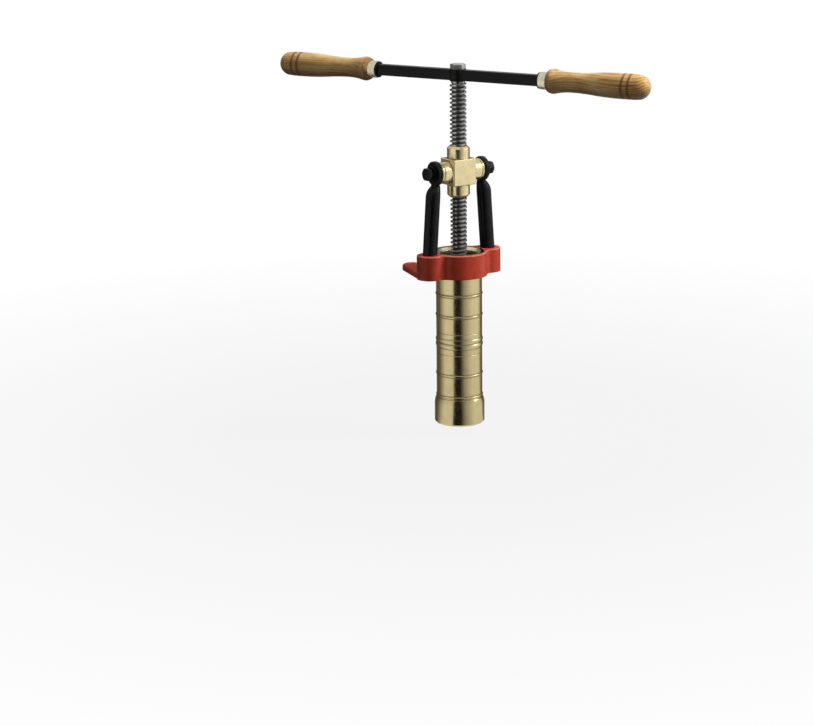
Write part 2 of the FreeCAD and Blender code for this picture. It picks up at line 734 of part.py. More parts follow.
def make_bolt(name, side):
    node = name + "_pivot_bolt"
    body = turned(node, (("bolt_tip", "0"),
                         ("bolt_tip", "pivot_bolt_radius - washer_bevel"),
                         ("bolt_tip + washer_bevel", "pivot_bolt_radius"),
                         ("bolt_head_seat", "pivot_bolt_radius"),
                         ("bolt_head_seat", "0")), "H_Axis")
    profile = sketch_on(body, node + "_hexagon", "YZ_Plane", "bolt_head_seat")
    pad(body, node + "_head", outline(profile, hexagon("bolt_head_width", 0)), "bolt_head_height")
    crown = "bolt_head_seat + bolt_head_height"
    across = "bolt_head_width / 2"
    clear = "bolt_head_width / 2 / cos(30) + washer_bevel"
    cone = ((crown, across), (crown, clear), (f"{crown} - ({clear} - {across}) / 2", clear))
    rim = outline(sketch_on(body, node + "_crown_profile", "XZ_Plane"), cone)
    turn_about(body, "Groove", node + "_crown", rim, "H_Axis")
    bind(body, "Placement.Base.z", "pivot_level")
    face_side(body, side)
    return body


def make_washer(node, side, inner_face, outer_face, radius, bore):
    body = turned(node, ((inner_face, bore),
                         (inner_face, f"{radius} - washer_bevel"),
                         (f"{inner_face} + washer_bevel", radius),
                         (f"{outer_face} - washer_bevel", radius),
                         (outer_face, f"{radius} - washer_bevel"),
                         (outer_face, bore)), "H_Axis")
    bind(body, "Placement.Base.z", "pivot_level")
    face_side(body, side)
    return body


def make_nut():
    """A cross: an upright hub that carries the thread and two trunnions for the pivot bolts."""
    body = new_body("screw_nut")
    block = sketch_on(body, "block_outline", "XY_Plane")
    rectangle(block, "nut_block_half_width", "nut_block_half_depth")
    cube = pad(body, "block", block, "nut_block_height", midplane=True)
    dress(body, "Chamfer", "block_bevel", cube, lambda edge: True, "nut_block_bevel")
    hub = (("0", "-nut_hub_reach"),
           ("nut_hub_radius - nut_hub_bevel", "-nut_hub_reach"),
           ("nut_hub_radius", "-nut_hub_reach + nut_hub_bevel"),
           ("nut_hub_radius", "nut_hub_reach - nut_hub_bevel"),
           ("nut_hub_radius - nut_hub_bevel", "nut_hub_reach"),
           ("0", "nut_hub_reach"))
    hub_profile = outline(sketch_on(body, "hub_profile", "XZ_Plane"), hub)
    turn_about(body, "Revolution", "hub", hub_profile, "V_Axis")
    rim = "nut_trunnion_radius - washer_bevel"
    trunnions = (("-trunnion_end", "0"), ("trunnion_end", "0"),
                 ("trunnion_end", rim), ("trunnion_end - washer_bevel", "nut_trunnion_radius"),
                 ("washer_bevel - trunnion_end", "nut_trunnion_radius"), ("-trunnion_end", rim))
    arm_profile = outline(sketch_on(body, "trunnion_profile", "XZ_Plane"), trunnions)
    turn_about(body, "Revolution", "trunnions", arm_profile, "H_Axis")
    tap = "pivot_bolt_radius + press_clearance"
    for name, side in SIDES:
        start = f"{side} * bolt_tap_end"
        finish = f"{side} * trunnion_end"
        corners = ((start, "0"), (finish, "0"), (finish, tap), (start, tap))
        profile = outline(sketch_on(body, name + "_tap_profile", "XZ_Plane"), corners)
        turn_about(body, "Groove", name + "_tap", profile, "H_Axis")
    thread = sketch_on(body, "thread_outline", "XY_Plane")
    circle(thread, "0", "0", "nut_bore_radius")
    pocket(body, "thread_bore", thread, "3 * nut_hub_reach", midplane=True)
    bind(body, "Placement.Base.z", "pivot_level")
    return body


# ---------------------------------------------------------------- screw, crank and piston

def make_screw():
    body = turned("power_screw", (("0", "journal_end"),
                                  ("screw_journal_radius", "journal_end"),
                                  ("screw_journal_radius", "screw_shoulder"),
                                  ("screw_radius - screw_end_bevel", "screw_shoulder"),
                                  ("screw_radius", "screw_shoulder + screw_end_bevel"),
                                  ("screw_radius", "bar_hub_bottom - screw_relief_length"),
                                  ("screw_relief_radius", "bar_hub_bottom - screw_relief_length"),
                                  ("screw_relief_radius", "bar_hub_bottom"),
                                  ("screw_end_radius", "bar_hub_bottom"),
                                  ("screw_end_radius", "screw_top"),
                                  ("0", "screw_top")))
    tap = "retaining_screw_radius + press_clearance"
    depth = "journal_end + retaining_screw_length + tap_extra"
    corners = (("0", "journal_end"), (tap, "journal_end"), (tap, depth), ("0", depth))
    profile = outline(sketch_on(body, "screw_tap_profile", "XZ_Plane"), corners)
    turn_about(body, "Groove", "screw_tap", profile, "V_Axis")
    cut_pin_hole(body, "screw_pin")
    swing_with_crank(body)
    return body


def cut_pin_hole(body, name):
    profile = sketch_on(body, name + "_outline", "XZ_Plane")
    circle(profile, "0", "bar_level", "crank_pin_radius + press_clearance")
    pocket(body, name + "_hole", profile, "4 * bar_hub_radius", midplane=True)


def make_bar():
    """A flat bar with a round hub for the screw's end, and a collar and a round tang at each end."""
    body = new_body("crank_bar")
    section = sketch_on(body, "bar_section", "YZ_Plane")
    rectangle(section, "bar_thickness / 2", "bar_height / 2", "bar_level")
    length = pad(body, "bar", section, "2 * bar_half_length", midplane=True)
    half = value("bar_half_length")

    def along_the_bar(edge):
        return edge.BoundBox.XLength > half

    dress(body, "Chamfer", "bar_edges", length, along_the_bar, "bar_edge_bevel")
    hub = circle(sketch_on(body, "hub_outline", "XY_Plane", "bar_level"), "0", "0", "bar_hub_radius")
    pad(body, "bar_hub", hub, "bar_hub_top - bar_hub_bottom", midplane=True)
    tang = circle(sketch_on(body, "tang_outline", "YZ_Plane"), "0", "bar_level", "bar_tang_radius")
    pad(body, "tangs", tang, "2 * (bar_half_length + bar_tang_length)", midplane=True)
    for name, start in (("left", "-bar_half_length"), ("right", "bar_half_length - bar_collar_thickness")):
        collar = sketch_on(body, name + "_collar_outline", "YZ_Plane", start)
        circle(collar, "0", "bar_level", "bar_collar_radius")
        pad(body, name + "_collar", collar, "bar_collar_thickness")
    hole = sketch_on(body, "screw_end_outline", "XY_Plane", "bar_level")
    circle(hole, "0", "0", "screw_end_radius + press_clearance")
    pocket(body, "screw_end_hole", hole, "2 * (bar_hub_top - bar_hub_bottom)", midplane=True)
    cut_pin_hole(body, "bar_pin")
    swing_with_crank(body)
    return body


def make_crank_pin():
    body = new_body("crank_pin")
    profile = circle(sketch_on(body, "pin_outline", "XZ_Plane"), "0", "bar_level", "crank_pin_radius")
    pad(body, "pin", profile, "2 * (bar_hub_radius + crank_pin_overhang)", midplane=True)
    swing_with_crank(body)
    return body


def make_cap_nut():
    """A hexagonal nut, closed above the screw's end and bevelled round its crown."""
    body = new_body("crank_cap_nut")
    block = sketch_on(body, "cap_nut_hexagon", "XY_Plane", "bar_hub_top")
    pad(body, "cap_nut_block", outline(block, hexagon("cap_nut_width", 30)), "cap_nut_height")
    across = "cap_nut_width / 2"
    clear = f"{across} / cos(30) + washer_bevel"
    cone = ((across, "cap_nut_top"), (clear, f"cap_nut_top - ({clear} - {across}) / 2"),
            (clear, "cap_nut_top"))
    crown = outline(sketch_on(body, "cap_nut_crown_profile", "XZ_Plane"), cone)
    turn_about(body, "Groove", "cap_nut_crown", crown, "V_Axis")
    socket = sketch_on(body, "cap_nut_socket_outline", "XY_Plane", "screw_top")
    circle(socket, "0", "0", "screw_end_radius + press_clearance")
    pocket(body, "cap_nut_socket", socket, "screw_top - bar_hub_top")
    swing_with_crank(body)
    return body


def make_ferrule(name, side):
    bore = "ferrule_bore_radius"
    edge = "ferrule_radius - ferrule_edge_bevel"
    body = turned(name + "_ferrule", (("bar_half_length", bore),
                                      ("bar_half_length", edge),
                                      ("bar_half_length + ferrule_edge_bevel", "ferrule_radius"),
                                      ("ferrule_end", "ferrule_radius"),
                                      ("ferrule_end", bore)), "H_Axis")
    bind(body, "Placement.Base.z", "bar_level")
    swing_with_crank(body, side)
    return body


def groove_corners(name):
    rim = "swell_radius"
    return [(f"{name}_place - handle_groove_half_width", rim),
            (f"{name}_place", f"{rim} - handle_groove_cut"),
            (f"{name}_place + handle_groove_half_width", rim)]


def make_handle(name, side):
    """A turned grip: nose for the ferrule, bulb, waist, long swell, two grooves and a domed end."""
    nose = "ferrule_bore_radius - press_clearance"
    bottom = "bar_half_length + bar_tang_length + tang_hole_extra"
    corners = [("bar_half_length", "tang_hole_radius"),
               ("bar_half_length", nose),
               ("ferrule_end", nose),
               ("ferrule_end", "bulb_start_radius"),
               ("bulb_place", "handle_bulb_radius", "handle_bulb_curve", -1),
               ("bulb_joint_place", "bulb_joint_radius", "handle_bulb_curve", -1),
               ("waist_place", "waist_radius", "bulb_waist_curve", 1),
               ("swell_joint_place", "swell_joint_radius", "swell_waist_curve", 1),
               ("swell_place", "swell_radius", "handle_swell_curve", -1)]
    corners += groove_corners("inner_groove") + groove_corners("outer_groove")
    corners += [("end_start", "end_radius"),
                ("handle_end", "0", "end_curve", -1),
                (bottom, "0"),
                (bottom, "tang_hole_radius")]
    body = turned(name + "_handle", corners, "H_Axis")
    bind(body, "Placement.Base.z", "bar_level")
    swing_with_crank(body, side)
    return body


def make_piston():
    seat = "seal_inner_radius"
    seal_bottom = "seal_top - seal_height"
    bore = "screw_journal_radius + running_clearance"
    return turned("piston_body", ((bore, "piston_recess_top"),
                                  ("piston_recess_radius", "piston_recess_top"),
                                  ("piston_recess_radius", "piston_level"),
                                  ("piston_radius - piston_bevel", "piston_level"),
                                  ("piston_radius", "piston_level + piston_bevel"),
                                  ("piston_radius", seal_bottom),
                                  (seat, seal_bottom),
                                  (seat, "seal_top"),
                                  ("piston_radius", "seal_top"),
                                  ("piston_radius", "piston_top - piston_bevel"),
                                  ("piston_radius - piston_bevel", "piston_top"),
                                  (bore, "piston_top")))


def flat_ring(node, low, high, bore, radius, bevel=None):
    """A flat ring about the barrel's axis, bevelled at its upper rim where a bevel is given."""
    if bevel is None:
        return turned(node, ((bore, low), (radius, low), (radius, high), (bore, high)))
    return turned(node, ((bore, low), (radius, low), (radius, f"{high} - {bevel}"),
                         (f"{radius} - {bevel}", high), (bore, high)))


def make_retaining_screw():
    """A cheese head that closes the piston's recess from below."""
    tip = "journal_end + retaining_screw_length"
    head_bottom = "retaining_head_seat - retaining_head_height"
    body = turned("piston_retaining_screw", (("0", head_bottom),
                                             ("retaining_head_radius - washer_bevel", head_bottom),
                                             ("retaining_head_radius", f"{head_bottom} + washer_bevel"),
                                             ("retaining_head_radius", "retaining_head_seat"),
                                             ("retaining_screw_radius", "retaining_head_seat"),
                                             ("retaining_screw_radius", f"{tip} - washer_bevel"),
                                             ("retaining_screw_radius - washer_bevel", tip),
                                             ("0", tip)))
    slot = sketch_on(body, "driver_slot_outline", "XY_Plane", head_bottom)
    rectangle(slot, "retaining_head_radius", "retaining_slot_width / 2")
    pocket(body, "driver_slot", slot, "retaining_slot_depth", reverse=True)
    return body


def make_pivots(name, side):
    make_post(name, side)
    make_bolt(name, side)
    make_washer(name + "_bolt_washer", side, "eye_outer", "bolt_head_seat",
                "bolt_washer_radius", "bolt_hole_radius")
    make_washer(name + "_thrust_washer", side, "trunnion_end", "eye_inner",
                "thrust_washer_radius", "bolt_hole_radius")
    make_ferrule(name, side)
    make_handle(name, side)


def make_parts():
    make_flange()
    make_barrel()
    make_ring_nut()
    make_die()
    make_nut()
    make_screw()
    make_bar()
    make_crank_pin()
    make_cap_nut()
    for name, side in SIDES:
        make_pivots(name, side)
    make_piston()
    journal = "screw_journal_radius + running_clearance"
    shank = "retaining_screw_radius + press_clearance"
    flat_ring("piston_seal", "seal_top - seal_height", "seal_top", "seal_inner_radius", "seal_radius")
    flat_ring("piston_thrust_washer", "piston_top", "piston_thrust_top", journal,
              "piston_thrust_radius", "washer_bevel")
    flat_ring("piston_retaining_washer", "retaining_head_seat", "journal_end", shank,
              "retaining_washer_radius")
    make_retaining_screw()


def check_document():
    """Stops before anything is written if a feature failed or a body is not one sound solid."""
    for item in doc.Objects:
        if "Invalid" in item.State or "Error" in item.State:
            raise RuntimeError(f"{item.Label} failed: {item.State}")
    bodies = [item for item in doc.Objects if item.TypeId == "PartDesign::Body"]
    for body in bodies:
        if body.Shape.isNull() or not body.Shape.isValid():
            raise RuntimeError(f"{body.Label} has no sound shape")
        if len(body.Shape.Solids) != 1:
            raise RuntimeError(f"{body.Label} has {len(body.Shape.Solids)} solids")
    return bodies


make_parts()
doc.recompute()
os.makedirs("parts", exist_ok=True)
for part in check_document():
    part.Shape.exportStep(f"parts/{part.Label}.step")
    print(f"{part.Label}: {part.Shape.Volume:.0f} mm3")
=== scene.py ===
"""Looks of the hand-cranked pasta press: turned brass, enamelled iron, a cut steel thread, wood.

Lengths are in mm, as in the solids, until MM takes them to Blender's metres. A profile's points
are (along the axis, from the axis).
"""

import math

import bmesh
import bpy
import numpy as np
from mathutils import Matrix, Vector, noise

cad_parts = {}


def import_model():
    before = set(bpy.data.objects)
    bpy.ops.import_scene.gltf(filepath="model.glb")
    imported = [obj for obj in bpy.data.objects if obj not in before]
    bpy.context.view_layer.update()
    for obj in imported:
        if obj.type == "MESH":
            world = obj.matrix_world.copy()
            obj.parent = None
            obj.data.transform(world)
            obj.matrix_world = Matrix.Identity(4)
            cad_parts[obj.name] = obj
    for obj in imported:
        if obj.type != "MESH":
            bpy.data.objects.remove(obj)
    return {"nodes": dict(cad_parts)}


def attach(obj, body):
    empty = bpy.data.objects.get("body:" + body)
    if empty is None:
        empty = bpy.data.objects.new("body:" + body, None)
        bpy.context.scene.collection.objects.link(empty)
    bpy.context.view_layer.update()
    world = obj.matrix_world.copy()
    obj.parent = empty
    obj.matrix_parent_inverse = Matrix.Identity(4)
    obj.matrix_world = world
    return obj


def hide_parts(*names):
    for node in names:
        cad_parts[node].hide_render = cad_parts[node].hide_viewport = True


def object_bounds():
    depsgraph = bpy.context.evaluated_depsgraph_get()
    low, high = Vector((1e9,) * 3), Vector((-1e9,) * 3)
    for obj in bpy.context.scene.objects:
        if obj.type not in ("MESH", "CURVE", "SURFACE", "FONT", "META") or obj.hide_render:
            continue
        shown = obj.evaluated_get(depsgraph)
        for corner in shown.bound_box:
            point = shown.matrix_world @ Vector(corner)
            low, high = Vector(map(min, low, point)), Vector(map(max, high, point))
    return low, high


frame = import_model()
CAD_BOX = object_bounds()
NODES = frame["nodes"]

MM = 0.001
UP = Vector((0, 0, 1))
ON_AXIS = 1e-5                       # a radius below this lies on the axis

# sizes of the press
CRANK_TURN = math.radians(-64)       # of the crank bar, from the X axis
BAR_LEVEL = 260.0                    # axis of the crank bar
PIVOT_LEVEL = 136.3                  # axis of the pivot bolts
PITCH = 5.5                          # of the drive screw
BARREL_RADIUS = 30.0
SPIGOT_TOP = -162.2                  # the barrel's shoulder, over the ring nut
FERRULE_START, FERRULE_END = 119.8, 131.5    # along the crank bar
SWELL_RADIUS = 15.9                  # of a handle, at its widest
GROOVES = (237.4, 246.2)             # along a handle
FLOOR = CAD_BOX[0].z / MM - 16.0     # clear of the ring nut at its lowest
MIDDLE = (0, 0, 60)                  # of the press, faced by the lamps

# the photograph's camera
CAMERA_TURN, CAMERA_PITCH, CAMERA_ROLL = -32.5, 14.4, -0.62    # degrees
CAMERA_PLACE = (-1682.6, -2511.9, 658.7)
FOCAL_LENGTH, PICTURE_WIDTH = 2378, 813      # in the picture's pixels
SENSOR = 36.0


def crank_way(side):
    """The direction in which one end of the crank bar points."""
    return (side * math.cos(CRANK_TURN), side * math.sin(CRANK_TURN), 0)


# ---------------------------------------------------------------- meshes

def add_object(name, data):
    obj = bpy.data.objects.new(name, data)
    bpy.context.scene.collection.objects.link(obj)
    return obj


def on_ring(radius, angle, level):
    """A point round the Z axis, in metres."""
    return (radius * MM * math.cos(angle), radius * MM * math.sin(angle), level * MM)


def write_values(mesh, name, values):
    """Keeps one value per point with the mesh, for its material to read."""
    layer = mesh.attributes.new(name, "FLOAT", "POINT")
    layer.data.foreach_set("value", np.asarray(values, np.float32))


def shade(mesh, angle=32.0):
    """Smooth faces, with the edges sharper than the angle kept sharp."""
    work = bmesh.new()
    work.from_mesh(mesh)
    bmesh.ops.recalc_face_normals(work, faces=work.faces)
    limit = math.radians(angle)
    for face in work.faces:
        face.smooth = True
    for edge in work.edges:
        if len(edge.link_faces) == 2:
            edge.smooth = edge.calc_face_angle(0.0) < limit
    work.to_mesh(mesh)
    work.free()


def soften(profile, radius, steps=4):
    """The closed profile with its corners rounded, but for slight ones and those on the axis."""
    slightest = math.radians(14)
    most = 0.45                 # of a side that one of its corners may take
    rounded = []
    for index, corner in enumerate(profile):
        here = Vector(corner)
        before = Vector(profile[index - 1]) - here
        after = Vector(profile[(index + 1) % len(profile)]) - here
        turn = 0.0 if here.y < ON_AXIS else math.pi - before.angle(after)
        if turn < slightest:
            rounded.append(tuple(here))
            continue
        reach = min(radius / math.tan((math.pi - turn) / 2),
                    before.length * most, after.length * most)
        start = here + before.normalized() * reach
        finish = here + after.normalized() * reach
        for step in range(steps + 1):
            part = step / steps
            rounded.append(tuple(start * (1 - part) ** 2 + here * 2 * part * (1 - part)
                                 + finish * part ** 2))
    return rounded


def spaced(profile, reach):
    """The profile with points added on its long runs, so that a hollow's darkening, soiling and
    painted shade, ends beside it.
    """
    spacing = 6.0               # in the middle of a run
    filled = []
    for index, point in enumerate(profile):
        filled.append(tuple(point))
        here, there = Vector(point), Vector(profile[(index + 1) % len(profile)])
        length = (there - here).length
        if length > 2.5 * reach and max(here.y, there.y) > ON_AXIS:
            stops = [reach / 2, reach, length - reach, length - reach / 2]
            middle = length - 2 * reach
            pieces = int(middle / spacing)
            stops += [reach + middle * step / (pieces + 1) for step in range(1, pieces + 1)]
            filled += [tuple(here.lerp(there, stop / length)) for stop in sorted(stops)]
    return filled


def hollows(profile, reach):
    """How far each profile point lies behind the chord across its neighbourhood, from -1 to 1."""
    full = reach * 0.25         # the depth that counts as 1
    points = np.array(profile, float)
    following = np.roll(points, -1, axis=0)
    lengths = np.hypot(*(following - points).T)
    along = np.concatenate(([0.0], np.cumsum(lengths)))
    whole = along[-1]
    closed = np.vstack((points, points[:1]))
    turned = np.sum(points[:, 0] * following[:, 1] - following[:, 0] * points[:, 1])
    depths = []
    for index, point in enumerate(points):
        ends = [np.array([np.interp((along[index] + way * reach) % whole, along, closed[:, axis])
                          for axis in (0, 1)]) for way in (-1, 1)]
        chord = ends[1] - ends[0]
        outward = np.array([chord[1], -chord[0]]) * np.sign(turned)
        size = np.hypot(*outward)
        middle = (ends[0] + ends[1]) / 2 - point
        on_axis = min(point[1], ends[0][1], ends[1][1]) < ON_AXIS
        depths.append(0.0 if size < 1e-9 or on_axis else float(middle @ outward / size))
    return np.clip(np.array(depths) / full, -1, 1)


def lathe(name, profile, steps=144, reach=1.5):
    """A closed profile turned about the object's own Z axis, with its hollows over a reach."""
    profile = spaced(profile, reach)
    verts, faces, ring_of = [], [], []
    for axial, radius in profile:
        size = 1 if radius < ON_AXIS else steps
        ring_of.append((len(verts), size))
        if size == 1:
            verts.append((0.0, 0.0, axial * MM))
        else:
            verts += [on_ring(radius, 2 * math.pi * step / steps, axial) for step in range(steps)]
    for index, (low, low_size) in enumerate(ring_of):
        high, high_size = ring_of[(index + 1) % len(ring_of)]
        if low_size == 1 and high_size == 1:
            continue
        for step in range(steps):
            after = (step + 1) % steps
            if low_size == 1:
                faces.append((low, high + after, high + step))
            elif high_size == 1:
                faces.append((low + step, low + after, high))
            else:
                faces.append((low + step, low + after, high + after, high + step))
    mesh = bpy.data.meshes.new(name)
    mesh.from_pydata(verts, [], faces)
    mesh.update()
    write_values(mesh, "hollow", np.repeat(hollows(profile, reach), [size for _, size in ring_of]))
    shade(mesh)
    return add_object(name, mesh)


def aim(obj, level, direction):
    """Puts the object's own Z axis along a direction, from a level on the press's axis."""
    turn = UP.rotation_difference(Vector(direction)).to_matrix().to_4x4()
    obj.matrix_world = Matrix.Translation(Vector((0, 0, level)) * MM) @ turn


def dress(obj, body, material, node):
    """Gives a piece its material and its body, and hides the node that it stands for."""
    obj.data.materials.clear()
    obj.data.materials.append(material)
    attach(obj, body)
    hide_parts(node)


def apply_modifiers(obj):
    """Works the object's modifiers into its mesh."""
    graph = bpy.context.evaluated_depsgraph_get()
    mesh = bpy.data.meshes.new_from_object(obj.evaluated_get(graph))
    obj.modifiers.clear()
    obj.data = mesh


def recast(node, bevel):
    """A copy of a node's solid with its sharp edges broken."""
    obj = add_object(node + "_finished", NODES[node].data.copy())
    work = bmesh.new()
    work.from_mesh(obj.data)
    bmesh.ops.remove_doubles(work, verts=work.verts, dist=1e-7)
    bmesh.ops.dissolve_limit(work, angle_limit=math.radians(0.6), verts=work.verts,
                             edges=work.edges)
    work.to_mesh(obj.data)
    work.free()
    cut = obj.modifiers.new("edges", "BEVEL")
    cut.width = bevel * MM
    cut.segments = 3
    cut.limit_method = "ANGLE"
    cut.angle_limit = math.radians(35)
    cut.use_clamp_overlap = True
    apply_modifiers(obj)
    shade(obj.data, angle=40)
    return obj


def roughcast(node, voxel, passes, dent, dent_size):
    """A node's solid as a casting or forging: soft edges and a slightly dented skin."""
    obj = add_object(node + "_finished", NODES[node].data.copy())
    remesh = obj.modifiers.new("skin", "REMESH")
    remesh.mode = "VOXEL"
    remesh.voxel_size = voxel * MM
    smooth = obj.modifiers.new("soft", "SMOOTH")
    smooth.factor = 0.5
    smooth.iterations = passes
    apply_modifiers(obj)
    mesh = obj.data
    mesh.update()
    places = np.zeros(len(mesh.vertices) * 3, np.float32)
    normals = np.zeros_like(places)
    mesh.vertices.foreach_get("co", places)
    mesh.vertices.foreach_get("normal", normals)
    places = places.reshape(-1, 3)
    normals = normals.reshape(-1, 3)
    scale = 1 / (dent_size * MM)
    lift = np.array([noise.noise(Vector(place) * scale) for place in places.tolist()])
    places -= normals * (np.abs(lift)[:, None] * dent * MM)
    mesh.vertices.foreach_set("co", places.ravel())
    mesh.update()
    shade(mesh, angle=180)
    write_values(mesh, "hollow", pockets(mesh, places, normals, voxel))
    return obj


def pockets(mesh, places, normals, voxel):
    """How far each point lies in a corner (up to 1) or out on an edge (down to -1)."""
    rounds = 28                 # of smoothing, that a point is set against
    edges = np.zeros(len(mesh.edges) * 2, np.int64)
    mesh.edges.foreach_get("vertices", edges)
    first, second = edges.reshape(-1, 2).T
    count = len(places)
    shares = np.bincount(first, minlength=count) + np.bincount(second, minlength=count)
    shares = np.maximum(shares, 1)
    spread = places.astype(float)
    for _ in range(rounds):
        total = np.empty_like(spread)
        for axis in range(3):
            column = spread[:, axis]
            total[:, axis] = (np.bincount(first, column[second], count)
                              + np.bincount(second, column[first], count))
        spread = 0.5 * spread + 0.5 * total / shares[:, None]
    depth = np.sum((spread - places) * normals, axis=1) / (voxel * MM)
    return np.clip(depth, -1, 1)


# ---------------------------------------------------------------- node trees

class Nodes:
    """A small hand for writing a node tree."""

    def __init__(self, tree):
        self.tree = tree

    def node(self, kind, inputs=None, **settings):
        made = self.tree.nodes.new("ShaderNode" + kind)
        for key, content in settings.items():
            setattr(made, key, content)
        for key, content in (inputs or {}).items():
            self.feed(made.inputs[key], content)
        return made

    def feed(self, socket, content):
        if isinstance(content, bpy.types.NodeSocket):
            self.tree.links.new(content, socket)
        else:
            socket.default_value = content

    def calc(self, how, first, second=0.0):
        return self.node("Math", {0: first, 1: second}, operation=how).outputs[0]

    def plus(self, first, second):
        return self.calc("ADD", first, second)

    def times(self, first, second):
        return self.calc("MULTIPLY", first, second)

    def larger(self, first, second):
        return self.calc("MAXIMUM", first, second)

    def bright_rays(self):
        """1 for rays that find pale surroundings: the camera's, and those off metal or glass."""
        rays = self.node("LightPath").outputs
        bounced = self.larger(rays["Is Glossy Ray"], rays["Is Transmission Ray"])
        return self.larger(rays["Is Camera Ray"], bounced)


class Shader(Nodes):
    """One material, begun from the principled shader."""

    def __init__(self, name, **sockets):
        self.material = bpy.data.materials.new(name)
        self.material.use_nodes = True
        super().__init__(self.material.node_tree)
        self.bsdf = self.tree.nodes["Principled BSDF"]
        for key, content in sockets.items():
            self.bsdf.inputs[key.replace("_", " ")].default_value = content
        self.stand = None

    def place(self, along=1.0, shift=(0, 0, 0)):
        """The object's own coordinates in mm, or those of the stand (origin and turn).

        Z is multiplied by along, so below 1 a pattern is drawn out along the axis."""
        here = self.node("TexCoord").outputs["Object"]
        if self.stand:
            origin, turn = self.stand
            here = self.node("Mapping", {"Vector": here, "Location": origin, "Rotation": turn},
                             vector_type="TEXTURE").outputs[0]
        scale = (1 / MM, 1 / MM, along / MM)
        return self.node("Mapping", {"Vector": here, "Scale": scale, "Location": shift}).outputs[0]

    def axial(self):
        """The place along the axis, in mm."""
        return self.node("SeparateXYZ", {"Vector": self.place()}).outputs["Z"]

    def radial(self):
        """The distance from the axis, in mm."""
        return self.node("VectorMath", {0: self.place(0)}, operation="LENGTH").outputs["Value"]

    def attribute(self, name):
        return self.node("Attribute", attribute_name=name).outputs["Fac"]

    def speckle(self, size, along=1.0, shift=(0, 0, 0), detail=3.0, rough=0.55):
        """Soft noise with spots of a size in mm, drawn out along the axis."""
        inputs = {"Vector": self.place(along, shift), "Scale": 1 / size,
                  "Detail": detail, "Roughness": rough}
        return self.node("TexNoise", inputs).outputs["Fac"]

    def turned_lines(self, spacing):
        """Tool marks round the axis: a value that changes along Z only."""
        inputs = {"W": self.axial(), "Scale": 1 / spacing, "Detail": 3.0, "Roughness": 0.7}
        return self.node("TexNoise", inputs, noise_dimensions="1D").outputs["Fac"]

    def span(self, value, low, high, out_low=0.0, out_high=1.0):
        """The value mapped from one range to another, held inside the second."""
        inputs = {"Value": value, "From Min": low, "From Max": high,
                  "To Min": out_low, "To Max": out_high}
        return self.node("MapRange", inputs, clamp=True).outputs[0]

    def blend(self, amount, first, second):
        """The first colour at 0 and the second at 1; either may be a plain (r, g, b)."""
        made = self.node("Mix", data_type="RGBA")
        self.feed(made.inputs[0], amount)
        self.feed(made.inputs[6], (*first, 1) if isinstance(first, tuple) else first)
        self.feed(made.inputs[7], (*second, 1) if isinstance(second, tuple) else second)
        return made.outputs[2]

    def bump(self, height, depth, strength, under=None):
        """A bump from a height of 0 to 1 over a depth in mm, on top of the one under it."""
        inputs = {"Height": height, "Distance": depth * MM, "Strength": strength}
        if under is not None:
            inputs["Normal"] = under
        return self.node("Bump", inputs).outputs[0]

    def finish(self, colour, roughness, normal):
        self.feed(self.bsdf.inputs["Base Color"], colour)
        self.feed(self.bsdf.inputs["Roughness"], roughness)
        self.feed(self.bsdf.inputs["Normal"], normal)
        return self.material

    def surface(self, shader):
        """Shows another shader node in place of the principled one."""
        self.feed(self.tree.nodes["Material Output"].inputs["Surface"], shader.outputs[0])


# ---------------------------------------------------------------- materials

def turned_metal(name, colour, dull, grime_and_shade, rough, bored=None):
    """Metal off the lathe: tool marks round the axis, handling marks, and soiling with painted
    shade in the hollows.

    Inside the radius bored the barrel is painted paler and matt, a painted reflection on its wall,
    and painted darker below its mouth, as painted shade deeper in the bore."""
    s = Shader(name, Metallic=1.0)
    lines = s.turned_lines(spacing=0.30)
    cloud = s.speckle(14.0, detail=4.0)
    smear = s.speckle(3.0, 0.35, detail=5.0)
    dirt_and_shade = s.span(s.attribute("hollow"), 0.05, 0.9)
    patches = s.span(cloud, 0.42, 0.70)
    tone = s.blend(s.times(patches, 0.55), colour, dull)
    tone = s.blend(s.span(lines, 0.45, 0.75, 0.0, 0.22), tone, dull)
    # painted shade: the hollows are darkened, partly soiling and partly shade
    tone = s.blend(s.times(dirt_and_shade, 0.6), tone, grime_and_shade)
    base = s.span(smear, 0.35, 0.75, rough, rough + 0.10)
    base = s.plus(base, s.span(lines, 0.3, 0.7, 0.0, 0.06))
    base = s.plus(base, s.times(dirt_and_shade, 0.22))
    if bored:
        # painted reflection: the bore's wall is painted pale as if lit from above; below the mouth
        # it is painted dark, as shade deeper in the tube
        pale, deep = (0.98, 0.88, 0.64), (0.26, 0.195, 0.105)
        mouth, depths = 27.5, 21.0
        height = s.axial()
        above_spigot = s.span(height, SPIGOT_TOP - 0.1, SPIGOT_TOP + 0.2)
        inside = s.times(s.span(s.radial(), bored, bored - 0.3), above_spigot)
        tone = s.blend(inside, tone, pale)
        tone = s.blend(s.times(inside, s.span(height, mouth, depths)), tone, deep)
        base = s.plus(base, s.times(inside, 0.12))
    return s.finish(tone, base, s.bump(lines, 0.010, 0.6))


